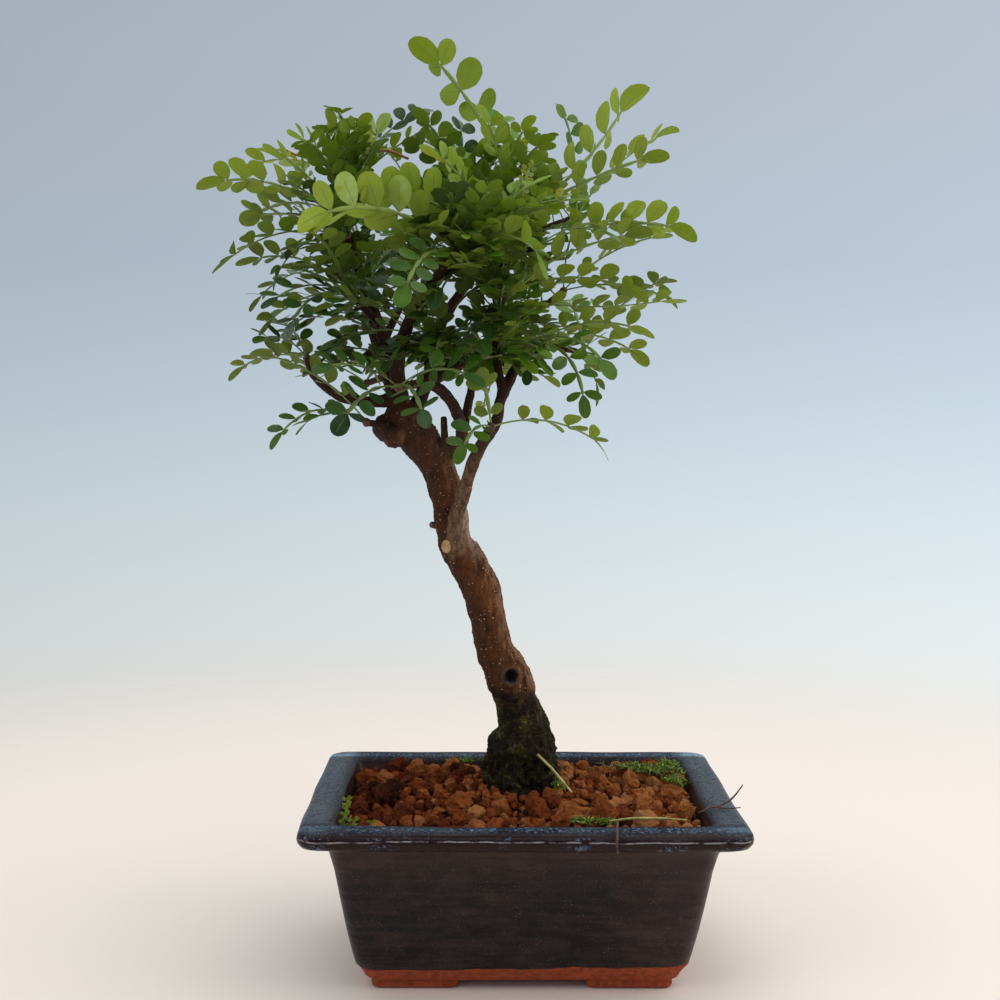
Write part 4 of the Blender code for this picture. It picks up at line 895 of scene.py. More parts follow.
# Grey on the right below the fork: partly grey bark and partly painted light from the right.
pale = (z - GREY_AT).size().between(15, 5) * (x + 25).between(-1, 4) * bark.noise(3, 3, 0.7).between(0.30, 0.60)
colour = bark.mix(pale * 0.75, colour, GREY_AND_PAINTED_LIGHT)
# Painted shade: the trunk is darkened high up, under the crown.
colour = bark.mix(upper * 0.60, colour, bark.mix(grain, UPPER_SHADE_DARK, UPPER_SHADE_PALE))
# Painted shade and light: the bark is painted darker where it faces left and lighter where it faces right.
facing = bark.part("X", bark.node("ShaderNodeNewGeometry", output="Normal"))
shaded_left, lit_right = facing.between(0.20, -0.80), facing.between(0.20, 0.95)
colour = bark.mix(shaded_left * 0.64, colour, LEFT_PAINTED_SHADE)
colour = bark.mix(lit_right * 0.40 * streak.between(0.35, 0.6), colour, RIGHT_PAINTED_LIGHT)
thin = girth_of.between(*THIN_WOOD)
# The twigs high in the crown are dark, partly their own colour and partly painted shade inside the crown.
shaded_twig = bark.mix(grain, TWIG_SHADE_DARK, TWIG_SHADE_PALE)
limb = bark.mix(streak.between(0.36, 0.62) * 0.7 + grain * 0.3, LIMB_DARK, LIMB_PALE)
colour = bark.mix(thin * 0.9, colour, bark.mix(z.between(*LIMB_TO_TWIG), limb, shaded_twig))
dots = bark.cells(1.9, bark.stretch(1, 1, 1.3))
dot = (dots + bark.noise(3, 2) * 0.16).between(0.29, 0.22) * bark.noise(5, 2).between(0.40, 0.50)
shadow = dots.between(0.38, 0.26) * (1 - dot)
colour = bark.mix(shadow * 0.40, colour, DOT_SHADOW)
colour = bark.mix(dot * (0.95 - upper * 0.4 - thin * 0.2), colour, DOT)
specks = bark.cells(1.3).between(0.24, 0.12) * bark.noise(4, 3).between(0.48, 0.56)
colour = bark.mix(specks * 0.60, colour, SPECK)
# Painted shade: the crease over the foot is painted black.
crease = (z - CREASE_AT + (bark.noise(5, 3, 0.65) - 0.5) * 9).size().between(2.6, 0.6)
colour = bark.mix(crease * 0.75, colour, CREASE_SHADE)
damp = (z + (bark.noise(7, 4, 0.7) - 0.5) * 26).between(*DAMP)
green_at = bark.noise(7, 3, 0.6).between(0.40, 0.62)
moss = bark.ramp(bark.noise(1.3, 4, 0.8) + green_at * 0.14 - 0.07, (0.40, (0.006, 0.004, 0.002)),
                 (0.52, (0.024, 0.016, 0.007)), (0.64, (0.070, 0.075, 0.010)), (0.73, (0.270, 0.250, 0.040)))
colour = bark.mix(damp * 0.94, colour, moss)
# Painted shade: dark lines in the grooves of the knot's wrinkles.
wrinkle = (knot * 2.6 + bark.noise(3, 3) * 3).math("SINE").between(0.2, 0.9) * knot.between(9, 4.5)
colour = bark.mix(wrinkle * 0.45, colour, WRINKLE_SHADE)
uneven = (bark.noise(3.5, 3, 0.6) - 0.5) * 3.6
collar = (knot - KNOT_RADIUS + uneven).size().between(1.0, 0.3) * bark.noise(5, 2).between(0.38, 0.55)
colour = bark.mix(collar * 0.5, colour, COLLAR)
# Painted shade: the hollow in the middle of the knot is painted black.
colour = bark.mix((knot + uneven * 0.4).between(2.8, 2.0), colour, HOLLOW_SHADE)
rings = ((cut_of * 7).math("SINE") * 0.3 + bark.noise(0.8, 3, 0.7)).between(0.2, 0.9)
sawn = bark.mix(rings, SAWN_DARK, SAWN_PALE)
colour = bark.mix(cut_of.between(0.9, 1.3), colour, bark.mix(cut_of.between(1.9, 1.5), sawn, SAWN_RIM))
relief = streak * 0.36 + grain * 0.20 + dot * 0.35 - specks * 0.2 - wrinkle * 0.3
relief = relief + damp * bark.noise(1.2, 5, 0.8) * 1.6
bark.coat(Base_Color=colour, Roughness=0.72 + grain * 0.15 + damp * 0.1, Specular_IOR_Level=0.18,
          Normal=bark.bump(relief, 1.0))
trunk = add_mesh("trunk_and_limbs", skin, faces, [bark.material], numbers)
mount(trunk, "bark", "trunk")

# %% [markdown]
# ## Where each frond stands
# A leaf of this tree is a frond: a thin winged rib with leaflets in pairs and one at the end. More than half were
# read one by one from the photograph, and the rest fill the crown by a rule: each bud sends them out round the way
# that leads away from the crown's heart, a golden angle apart. When the part was made, a frond that touched something
# was turned, pushed or shortened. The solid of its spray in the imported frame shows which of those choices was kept,
# so each choice's end leaflet is looked for among the solid's corners, and the fine frond follows the one found.

# %% Fronds read from the photograph
# Bud, tip, arch height, degrees that the front edge is lifted; then leaflet pairs, leaflet length and tone, from 0
# for an old dark leaf to 1 for a young pale one.
FRONDS = [
    ("h1", (-72, -60, 253), 9, 60, 5, 12.5, 0.86), ("h1b", (-52, -48, 264), 6, 55, 5, 11.5, 0.84),
    ("h1", (6, -58, 240), 8, 20, 5, 10.0, 0.60), ("ht1", (-39, 10, 326), 4, 60, 4, 13.0, 0.72),
    ("h3", (40, 18, 314), -4, 55, 5, 13.0, 0.80), ("hb8", (56, 30, 301), 4, 30, 4, 10.5, 0.72),
    ("h3", (50, 6, 288), 2, 25, 5, 10.5, 0.66), ("hr", (59, -12, 257), 6, 40, 6, 11.0, 0.80),
    ("h5", (44, 10, 258), 5, 35, 5, 10.5, 0.70), ("h5", (42, -18, 234), 7, 35, 5, 10.0, 0.68),
    ("h5", (60, 4, 238), -4, 30, 6, 10.0, 0.70), ("h4", (43, -14, 223), 5, 30, 4, 10.0, 0.66),
    ("h4", (46, 14, 214), 6, 20, 4, 9.5, 0.60), ("h4", (20, -18, 194), 8, -30, 4, 8.5, 0.40),
    ("h4", (28, -30, 208), 6, -20, 4, 9.0, 0.45), ("h4", (27, -6, 200), 7, -20, 4, 9.0, 0.45),
    ("h7", (27, -46, 183), 6, 25, 4, 9.5, 0.62), ("h7", (-15, -32, 207), 1, 40, 2, 8.0, 0.45),
    ("h7", (-22, -44, 182), 4, -30, 3, 8.5, 0.35), ("hp", (-113, 0, 274), 5, 25, 5, 11.0, 0.78),
    ("ht3", (-103, 34, 286), 4, 10, 4, 10.0, 0.88), ("hp", (-90, 12, 288), 2, 30, 3, 9.0, 0.88),
    ("ht3", (-85, 28, 296), 3, 30, 3, 8.0, 0.86), ("ht3", (-52, 26, 302), -3, 50, 5, 8.0, 0.94),
    ("ht4", (-34, 40, 311), 4, -30, 5, 9.0, 0.08), ("ht2", (-24, 14, 304), 2, 60, 3, 10.0, 0.12),
    ("ht2", (-42, 2, 290), 3, 40, 3, 9.0, 0.20), ("ht1", (6, -4, 290), 1, 40, 3, 9.0, 0.55),
    ("h2", (-104, -30, 240), 7, 15, 5, 10.0, 0.42), ("hp", (-104, 22, 266), 4, 20, 5, 10.0, 0.46),
    ("hx", (-102, 18, 249), 4, 20, 4, 9.5, 0.38), ("hx", (-104, 36, 233), 6, 10, 4, 9.5, 0.34),
    ("h2", (-87, -16, 238), 6, -10, 4, 9.0, 0.20), ("h10", (-86, -36, 229), 5, -15, 4, 9.0, 0.16),
    ("h10", (-80, -44, 220), 6, -20, 4, 9.0, 0.16), ("h10", (-95, 2, 223), 5, 15, 4, 9.5, 0.34),
    ("hl2", (-90, -26, 219), 4, -15, 3, 8.5, 0.22), ("hl2", (-105, 10, 208), 4, 10, 4, 9.0, 0.34),
    ("h6", (-86, -28, 182), 9, -15, 5, 8.5, 0.30), ("h6", (-82, 8, 188), 5, -20, 4, 8.5, 0.28),
    ("h8", (-60, -54, 190), 5, -45, 4, 10.0, 0.14), ("h8", (-32, -62, 192), 5, -45, 4, 10.0, 0.14),
    ("h8", (-66, -50, 209), 4, -35, 4, 9.5, 0.22), ("h8", (-16, -44, 206), 5, -30, 4, 9.5, 0.30),
    ("h9", (-14, -36, 216), 5, -25, 4, 9.5, 0.32), ("h9", (-40, -38, 226), 5, -30, 4, 9.5, 0.28),
    ("h1", (-40, -66, 228), 7, -30, 5, 10.0, 0.34), ("hr", (22, -40, 246), 6, -10, 4, 9.5, 0.50),
]
# The part's rules for a frond: where its end leaflet starts and is widest, and how the filling ones grow.
PAIRS_END, END_WIDEST, END_HALF = 0.71, 0.60, 4.8
FROND_LONG, GOLDEN, UPWARD, CROWN_LOW = 47.0, 137.5, (0, 0, 0.12), 203
HEART, MIDDLE, HALF = np.array((-25, 4, 226)), np.array((-24, 10, 243)), np.array((90, 76, 82))
# How near the solid's corners must be, the tones from and to which a frond counts as young or old, and the shares of
# the listed length that old, middling and young leaflets get.
FOUND, YOUNG, OLD, LEAF_SHARES = 0.8, 0.82, 0.36, (0.80, 0.90, 1.0)
FILLING_LEAF = 7.5


def frond_points(frond, share):
    """Place, side, normal and way ahead of a frond's rib at shares of its length: a parabola over its chord, whose
    side direction is turned about the rib by the lift. Millimetres."""
    start, tip, arch, lift = frond[:4]
    chord = tip - start
    ahead = unit(chord)
    over = unit(np.array((0.0, 0.0, 1.0)) - ahead[2] * ahead)
    share = np.asarray(share, float)[:, None]
    place = start + chord * share + over * 4 * arch * share * (1 - share)
    tangent = unit(chord + over * 4 * arch * (1 - 2 * share))
    side = unit(np.cross(tangent, over))
    side = -side if side[0, 1] > 0 else side
    normal = np.cross(side, tangent)
    normal = normal * np.where(normal @ over < 0, -1.0, 1.0)[:, None]
    angle = math.radians(lift)
    turned = side * math.cos(angle) + normal * math.sin(angle)
    return place, turned, normal * math.cos(angle) - side * math.sin(angle), tangent


def listed_choices(start, tip, arch, lift):
    """A listed frond as it is, bent forward or back, turned, or shortened, in the part's order."""
    for long in (1.0, 0.85):
        for push in (0, 6, -6, 12, -12, 18, -18):
            for turn in (0, 20, -20):
                yield start, start + (tip + (0, push, 0) - start) * long, arch * long, lift + turn


def filling_choices(start, turns, number):
    """A filling frond round the way out of the crown, with the turns that the part may have given it."""
    out = unit(start - HEART)
    across = unit(np.cross(out, (0.0, 0.0, 1.0)))
    other = np.cross(out, across)
    for long in (FROND_LONG, 0.8 * FROND_LONG):
        for lean in (0.75, 0.35, 1.3):
            for turn in (0, 24, -24, 48, -48, 72, -72):
                angle = math.radians(turns + GOLDEN * number + turn)
                tip = start + unit(out * lean + across * math.cos(angle) + other * math.sin(angle) + UPWARD) * long
                if np.linalg.norm((tip - MIDDLE) / HALF) < 1.0 and tip[2] > CROWN_LOW:
                    yield start, tip, 0.10 * long, (25, -10, 15, -25)[number % 4]


def find_frond(choices, corners):
    """The choice whose end leaflet has its tip and both its widest points nearest to corners of the solid."""
    best, least = None, FOUND
    for choice in choices:
        place, side, _, _ = frond_points(choice, [PAIRS_END])
        middle = place[0] + (choice[1] - place[0]) * END_WIDEST
        marks = [choice[1], middle - side[0] * END_HALF, middle + side[0] * END_HALF]
        off = max(corners.find(mark)[2] for mark in marks)
        if off < least:
            best, least = choice, off
    return best


def leaf_share(tone):
    """The share of the listed leaflet length for a frond of that tone."""
    return LEAF_SHARES[(tone >= OLD) + (tone > YOUNG)]


def filling_tone(tip, step):
    """The tone of a filling frond: paler with height, partly for younger leaves and partly as painted light, a little
    darker at the left as painted shade, and in five steps about that.
    """
    height, left = np.clip((tip[2] - 190) / 120, 0, 1), np.clip((-45 - tip[0]) / 30, 0, 1)
    return 0.24 + 0.42 * height + 0.16 * (step % 5 - 2) / 2 - 0.06 * left


print(len(FRONDS), "fronds read from the photograph")

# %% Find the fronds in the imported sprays
names = {bud: f"spray_{number:02d}" for number, bud in enumerate(BUDS, start=1)}
trees = {}
for bud, name in names.items():
    places = (corners_of(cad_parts[name].data) - POT) / MM
    trees[bud] = KDTree(len(places))
    for index, place in enumerate(places):
        trees[bud].insert(place, index)
    trees[bud].balance()

crown = {bud: [] for bud in BUDS}
lost = []
for bud, tip, arch, lift, *look in FRONDS:
    start = np.array(BUDS[bud][0], float)
    found = find_frond(listed_choices(start, np.array(tip, float), arch, lift), trees[bud])
    if found:
        pairs, long, tone = look
        crown[bud].append((*found, pairs, long * leaf_share(tone), tone))
    else:
        lost.append(f"{bud} to {tip}")
for order, (bud, (place, more)) in enumerate(BUDS.items()):
    for number in range(more):
        found = find_frond(filling_choices(np.array(place, float), 50.0 * order, number), trees[bud])
        if found:
            tone = filling_tone(found[1], number * 7 + order * 3)
            crown[bud].append((*found, 5 if found[2] > 4 else 4, FILLING_LEAF, tone))
        else:
            lost.append(f"{bud} number {number}")
print(sum(map(len, crown.values())), "fronds found; not in the solids:", ", ".join(lost))

# %% [markdown]
# ## The shape of a leaflet
# A leaflet is a small blunt oval, widest past its middle. It is a closed skin of seven rings of six points: five
# across its upper face, so that it can fold along the midrib, and one more below. The same few formulas give all
# leaflets of a spray at once, and each leaflet has its own length, width, fold along the midrib and droop.

# %% Leaflet and rib
RING_ACROSS = np.array([1.0, 0.5, 0.0, -0.5, -1.0, 0.0])
RING_SIDE = np.array([0.0, 1.0, 1.0, 1.0, 0.0, -1.0])
LEAF_RINGS, LEAF_THICK, TEETH = 7, 0.18, 0.02
RING = len(RING_ACROSS)
# Where along a frond its pairs start and end and its end leaflet stands, as shares of its length.
PAIRS_FROM, PAIRS_TO = 0.25, 0.80
END_AT = PAIRS_TO + 0.02
# Means and spreads of a leaflet's lean forward, fold and droop; how many degrees a row rises from the rib, at most
# and with what spread; its width as a share of its length where the front edge is lifted or lowered.
LEAN, FOLD, DROOP = (0.50, 0.10), (0.14, 0.12), (0.012, 0.010)
RISE, RISE_MOST, RISE_SPREAD = 20, 44, 9
WIDE_LIFTED, WIDE_LOWERED, WIDE_SPREAD, TONE_SPREAD = 0.66, 0.58, 0.06, 0.06
# Half widths in millimetres of a rib's bare stalk, of its joints and of the wings beside them; half its thickness.
STALK_HALF, JOINT_HALF, WING_HALF, RIB_HALF = 0.42, 0.34, 0.48, 0.26

turn = np.linspace(0, np.pi, LEAF_RINGS + 2)[1:-1]
leaf_along = (1 - np.cos(turn)) / 2
leaf_half = np.sin(turn)**(1 + 0.7 * (1 - leaf_along)**2) * (0.82 + 0.26 * leaf_along)
leaf_half = 0.5 * leaf_half / leaf_half.max() * (1 + TEETH * (-1.0)**np.arange(LEAF_RINGS))
ALONG = np.concatenate([[0], np.repeat(leaf_along, RING), [1]])
ACROSS = np.concatenate([[0], np.tile(RING_ACROSS, LEAF_RINGS), [0]])
HALF_WIDE = np.concatenate([[0], np.repeat(leaf_half, RING), [0]])
SIDE = np.concatenate([[0], np.tile(RING_SIDE, LEAF_RINGS), [0]])
LEAF_FACES = closed_faces(LEAF_RINGS, RING)


def leaflet_corners(base, ahead, normal, long, wide, fold, droop):
    """Every corner of every leaflet. Along the leaflet it goes by its length, across it by the half width, and up by
    half the thickness, plus the fold times the distance from the midrib, minus the droop times the length squared."""
    across = np.cross(normal, ahead)
    x = ALONG * long[:, None]
    y = ACROSS * HALF_WIDE * wide[:, None]
    z = SIDE * LEAF_THICK / 2 + fold[:, None] * np.abs(y) - droop[:, None] * x * x
    return (base[:, None] + x[..., None] * ahead[:, None] + y[..., None] * across[:, None]
            + z[..., None] * normal[:, None])


def frond_leaflets(frond, draw):
    """Base, way ahead, upper side's direction, length, width, fold, droop and tone of a frond's leaflets: pairs at
    equal steps that lean forward and rise a little from the rib, and one at its end. Where the front row stands
    up, the row behind rises more, so that it lies nearly level."""
    lift, pairs, long, tone = frond[3:7]
    share = np.append(np.linspace(PAIRS_FROM, PAIRS_TO, pairs), END_AT)
    place, side, normal, tangent = frond_points(frond, share)
    size = np.append(1.0 - 0.22 * np.abs(np.linspace(-1.0, 0.75, pairs)), 1.0)
    base, ahead, up, sizes = [place[-1:]], [unit(tangent[-1:] - 0.1 * normal[-1:])], [normal[-1:]], [size[-1:] * 1.08]
    for way in (-1, 1):
        level = min(max(RISE, lift - 8), RISE_MOST) if way < 0 else RISE
        rise = np.radians(draw.normal(level, RISE_SPREAD, pairs))[:, None]
        lean = draw.normal(*LEAN, pairs)[:, None]
        out = unit(way * side[:-1] * np.cos(rise) + normal[:-1] * np.sin(rise) + tangent[:-1] * lean)
        base.append(place[:-1] + way * side[:-1] * 0.5)
        ahead.append(out)
        up.append(unit(np.cross(out, np.cross(normal[:-1] + 0.25 * draw.normal(size=(pairs, 3)), out))))
        sizes.append(size[:-1] * draw.normal(1.0, 0.05, pairs))
    base, ahead, up, sizes = map(np.concatenate, (base, ahead, up, sizes))
    up = unit(up - ahead * np.sum(up * ahead, axis=1, keepdims=True))
    long = long * sizes
    count = len(long)
    wide = long * draw.normal(WIDE_LIFTED if lift > 0 else WIDE_LOWERED, WIDE_SPREAD, count)
    fold, droop = draw.normal(*FOLD, count), draw.normal(*DROOP, count)
    return [base, ahead, up, long, wide, fold, droop, np.clip(tone + draw.normal(0, TONE_SPREAD, count), 0, 1)]


def frond_rib(frond):
    """The rib's closed skin. Its half width swells between the pairs with a sine, as two narrow wings, and pinches at
    each joint. Also how near each corner is to a joint, from 0 to 1."""
    pairs, tone = frond[4], frond[6]
    rows = 5 * pairs + 6
    share = np.linspace(0.0, END_AT, rows)
    place, side, normal, tangent = frond_points(frond, share)
    gap = (PAIRS_TO - PAIRS_FROM) / (pairs - 1)
    phase = (share - PAIRS_FROM) / gap
    swell = np.where(share < PAIRS_FROM, 0.0, np.abs(np.sin(np.pi * phase)))
    half = np.where(share < PAIRS_FROM, STALK_HALF, JOINT_HALF + WING_HALF * swell**0.7) * (0.75 + 0.025 * frond[5])
    skin, faces = sweep(place, side, normal, half, np.full(rows, RIB_HALF), 6)
    joint = np.where(share < PAIRS_FROM - 0.02, 0.0, 1 - swell)
    return skin, faces, np.concatenate([joint[:1], np.repeat(joint, 6), joint[-1:]]), np.full(len(skin), tone)


print("a leaflet has", len(ALONG), "corners")

# %% [markdown]
# ## Leaf finishes
# The upper face is waxy green, darker with age. The lower face is paler and dull. Light shines through both, which
# is why the high fronds glow yellow-green against the sky, so a translucent shader is mixed in. A leaflet has a pale
# midrib, faint side veins, tiny dark oil dots, pale glands along its toothed edge, and on some old leaves a grey film
# of dried lime.

# %% Leaf, rib and bud
VEIN, OIL_DOT, GLAND, LIME = (0.300, 0.400, 0.120), (0.015, 0.040, 0.010), (0.330, 0.380, 0.120), (0.420, 0.480, 0.430)
GLOW_OLD, GLOW_YOUNG, GLOW = (0.110, 0.210, 0.010), (0.680, 0.780, 0.060), 0.44
RIB_DARK, RIB_JOINT = (0.060, 0.090, 0.015), (0.170, 0.060, 0.030)

leaf = Finish("leaf")
tone, along, across, side = (leaf.value(name) for name in ("tone", "along", "across", "side"))
cloud = leaf.noise(3.5, 3, 0.6)
age = tone + (cloud - 0.5) * 0.22
upper = leaf.ramp(age, (0.0, (0.016, 0.048, 0.013)), (0.28, (0.058, 0.148, 0.016)), (0.52, (0.138, 0.285, 0.020)),
                  (0.76, (0.240, 0.390, 0.028)), (0.86, (0.330, 0.470, 0.054)), (0.94, (0.460, 0.620, 0.200)),
                  (1.0, (0.540, 0.530, 0.040)))
lower = leaf.ramp(age, (0.0, (0.092, 0.136, 0.028)), (0.40, (0.212, 0.296, 0.032)), (0.76, (0.340, 0.430, 0.046)),
                  (0.88, (0.380, 0.470, 0.068)), (0.96, (0.500, 0.620, 0.260)), (1.0, (0.560, 0.550, 0.050)))
is_upper = side.between(-0.05, 0.05)
colour = leaf.mix(is_upper, lower, upper)
middle = across.size()
midrib = middle.between(0.10, 0.02) * along.between(1.0, 0.55)
veins = (along * 44 - middle * 9).math("SINE").between(0.80, 1.0) * middle.between(1.0, 0.6)
colour = leaf.mix(midrib * 0.40 + veins * 0.14, colour, VEIN)
dots = leaf.cells(0.75).between(0.20, 0.08)
colour = leaf.mix(dots * 0.35, colour, OIL_DOT)
edge = middle.between(0.90, 0.99)
colour = leaf.mix(edge * 0.45, colour, GLAND)
film = (leaf.noise(0.6, 4, 0.85) + leaf.value("lime") * 0.30).between(0.76, 0.84) * is_upper
colour = leaf.mix(film * 0.6, colour, LIME)
relief = midrib * -0.20 + veins * 0.05 + cloud * 0.25 + leaf.noise(0.5, 2) * 0.03
leaf.coat(Base_Color=colour, Roughness=0.56 - is_upper * 0.28 + tone * is_upper * 0.14 + film * 0.3,
          Specular_IOR_Level=0.34, Normal=leaf.bump(relief, 1.0))
through = leaf.mix(0.35, leaf.mix(tone, GLOW_OLD, GLOW_YOUNG), colour)
glow = leaf.node("ShaderNodeBsdfTranslucent", {}, {"Color": through})
both = leaf.node("ShaderNodeMixShader", {}, {0: GLOW, 1: Wire(leaf, leaf.shader.outputs[0]), 2: glow})
leaf.put(leaf.tree.nodes["Material Output"].inputs["Surface"], both)

rib = Finish("leaf_rib")
tone, joint = rib.value("tone"), rib.value("lime")
green = rib.ramp(tone, (0.0, (0.085, 0.140, 0.028)), (0.5, (0.170, 0.260, 0.040)), (1.0, (0.340, 0.440, 0.080)))
green = rib.mix(rib.noise(2, 2) * 0.3, green, RIB_DARK)
rib.coat(Base_Color=rib.mix(joint.between(0.55, 1.0) * 0.55, green, RIB_JOINT), Roughness=0.45,
         Normal=rib.bump(rib.noise(0.7, 2), 0.1))

scale = Finish("bud_scale")
mixed = scale.ramp(scale.noise(0.9, 3, 0.7), (0.35, (0.030, 0.012, 0.008)), (0.60, (0.110, 0.038, 0.020)),
                   (0.75, (0.200, 0.100, 0.040)))
scale.coat(Base_Color=mixed, Roughness=0.6, Normal=scale.bump(scale.noise(0.6, 2), 0.3))
print("three finishes for the fronds")

# %% [markdown]
# ## The sprays
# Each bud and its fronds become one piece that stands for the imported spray. The bud is a lumpy ball with a pair of
# short red thorns, as this tree has at every leaf.

# %% Build the sprays
BUD_RADIUS, THORN, THORN_HALF = 1.5, 2.3, 0.55
bud_ball, bud_faces = ball_skin(5, 10)
NUMBERS = ("along", "across", "side", "tone", "lime")


def thorns(place, out, draw):
    """Two short curved cones on either side of the way out of a bud."""
    across = unit(np.cross(out, draw.normal(size=3)))
    made = []
    for way in (-1, 1):
        share = np.linspace(0, 1, 5)[:, None]
        path = place + across * way * (0.6 + THORN * share) + out * 0.8 * share**2
        side, other = path_frames(path)
        width = THORN_HALF * (1.04 - share[:, 0])
        made.append(sweep(path, side, other, width, width, 6))
    return gather(made)


def build_fronds(fronds, draw):
    """The shapes of some fronds with the numbers at their corners: all leaflets as one shape, then the ribs. The
    lime's number falls by twice the tone, so that only old dark leaflets carry the grey film."""
    leaflets = [np.concatenate(values) for values in zip(*(frond_leaflets(frond, draw) for frond in fronds))]
    corners = leaflet_corners(*leaflets[:7])
    count, size = corners.shape[:2]
    lime = np.repeat(np.clip(draw.normal(0.50 - 2.0 * leaflets[7], 0.28), 0, 1), size)
    shapes = [(corners.reshape(-1, 3), copies(LEAF_FACES, size, count))]
    numbers = [np.stack([np.tile(ALONG, count), np.tile(ACROSS, count), np.tile(SIDE, count),
                         np.repeat(leaflets[7], size), lime])]
    for frond in fronds:
        skin, faces, joint, tone = frond_rib(frond)
        shapes.append((skin, faces))
        numbers.append(np.stack([joint * 0, joint * 0, joint * 0, tone, joint]))
    return shapes, numbers, [0] + [1] * len(fronds)


def as_fronds(rows):
    """Listed rows of start, tip and looks, with start and tip as arrays."""
    return [(np.array(start, float), np.array(tip, float), *rest) for start, tip, *rest in rows]


def leafy_piece(name, shapes, numbers, finish_order):
    """A piece with the three leafy finishes, from shapes and the numbers of the first of them. The edge round each
    leaflet is made crisp, so that both its faces look flat."""
    used = [sum(map(len, faces)) for _, faces in shapes]
    points, faces = gather(shapes)
    numbers = numbers + [np.zeros((len(NUMBERS), len(points) - sum(n.shape[1] for n in numbers)))]
    numbers = np.concatenate(numbers, axis=1)
    piece = add_mesh(name, points * MM, faces, [leaf.material, rib.material, scale.material],
                     dict(zip(NUMBERS, numbers)), np.repeat(finish_order, used))
    ends = np.empty(2 * len(piece.data.edges), np.int32)
    piece.data.edges.foreach_get("vertices", ends)
    rim = (numbers[2] == 0) & (np.arange(len(points)) < len(shapes[0][0]))
    crisp = rim[ends.reshape(-1, 2)].all(axis=1)
    piece.data.attributes.new("sharp_edge", "BOOLEAN", "EDGE").data.foreach_set("value", crisp)
    return piece


for order, (bud, fronds) in enumerate(crown.items()):
    draw = np.random.default_rng(100 + order)
    shapes, numbers, finish_order = build_fronds(fronds, draw)
    place = np.array(BUDS[bud][0], float)
    out = unit(np.mean([unit(frond[1] - frond[0]) for frond in fronds], axis=0))
    swell = BUD_RADIUS * (1 + 0.18 * lumps(bud_ball, 0.9, 51))[:, None]
    shapes += [(place + bud_ball * swell, bud_faces), thorns(place, out, draw)]
    mount(leafy_piece(f"fronds_{order + 1:02d}", shapes, numbers, finish_order + [2, 2]), "leaf", names[bud])

# %% [markdown]
# ## The heart of the crown
# Inside the crown, short fronds stand close together along every limb. They can't be told apart in the photograph,
# so they follow a rule: at each of a few shares of a limb's length one is drawn at random, mostly outwards, and kept
# where its tip stays inside the crown. Near the middle there are two, and low in the middle three, to hide the limbs
# there. Leaves at the top are paler, partly as younger leaves and partly as painted light, and leaves on the right are
# paler as painted light. Six more, listed one by one, hang before the limbs where the photograph shows dark leaves and
# no wood. All of them are seen between the sprays and have no solid of their own.

# %% Inner fronds
INNER_SHARES, PIECES, INNER_TRIES = (0.30, 0.46, 0.60, 0.72, 0.84, 0.95), 4, 8
LOWEST, LEFT_END, RIGHT_END, DEEP, TO_FRONT = 212, -82, 12, 0.92, (0, -0.30, 0.06)
INNER_LONG, INNER_ARCH, INNER_LIFT, INNER_LEAF = (24, 36), (1, 5), (-25, 25), (6.0, 8.0)
INNER_PAIRS, PALEST = (4, 6), 0.84
# Three fronds grow at a point that is this near to this X and below this height, and two near to the other X.
THREE_AT, THREE_NEAR, THREE_BELOW = -24, 27, 250
TWO_AT, TWO_NEAR = -33, 20


def how_many(start):
    """How many inner fronds grow at a point of a limb."""
    if abs(start[0] - THREE_AT) < THREE_NEAR and start[2] < THREE_BELOW:
        return 3
    return 2 if abs(start[0] - TWO_AT) < TWO_NEAR else 1


def in_heart(tip):
    """Whether a tip lies well inside the crown's oval and between the heart's lowest, left and right ends."""
    return np.linalg.norm((tip - MIDDLE) / HALF) < DEEP and tip[2] > LOWEST - 4 and LEFT_END < tip[0] < RIGHT_END


def inner_frond(start, draw):
    """A list of one frond from a point of a limb, or an empty one where every try leaves the heart."""
    for _ in range(INNER_TRIES):
        way = unit(0.6 * unit(start - HEART) + 0.85 * unit(draw.normal(size=3)) * (1, 1, 0.5) + TO_FRONT)
        tip = start + way * draw.uniform(*INNER_LONG)
        if in_heart(tip) and start[2] > LOWEST:
            # Paler to the right as painted light; paler towards the top, partly for younger leaves and partly as
            # painted light.
            right, top = np.clip((tip[0] + 36) / 60, 0, 1), np.clip((tip[2] - 232) / 60, 0, 1)
            tone = 0.16 + 0.34 * right + 0.38 * top
            return [(start, tip, draw.uniform(*INNER_ARCH), draw.uniform(*INNER_LIFT),
                     int(draw.integers(*INNER_PAIRS)), draw.uniform(*INNER_LEAF),
                     min(tone + draw.normal(0, 0.15), PALEST))]
    return []


def inner_fronds(draw):
    """Fronds of the crown's heart, in the form of the listed ones."""
    made = []
    for _, bud, rows in LIMBS:
        path = smooth_rows(limb_rows(bud, rows), MM)[:, :3] / MM
        for share in INNER_SHARES if bud else ():
            start = path[int(share * (len(path) - 1))]
            for _ in range(how_many(start)):
                made += inner_frond(start, draw)
    return made


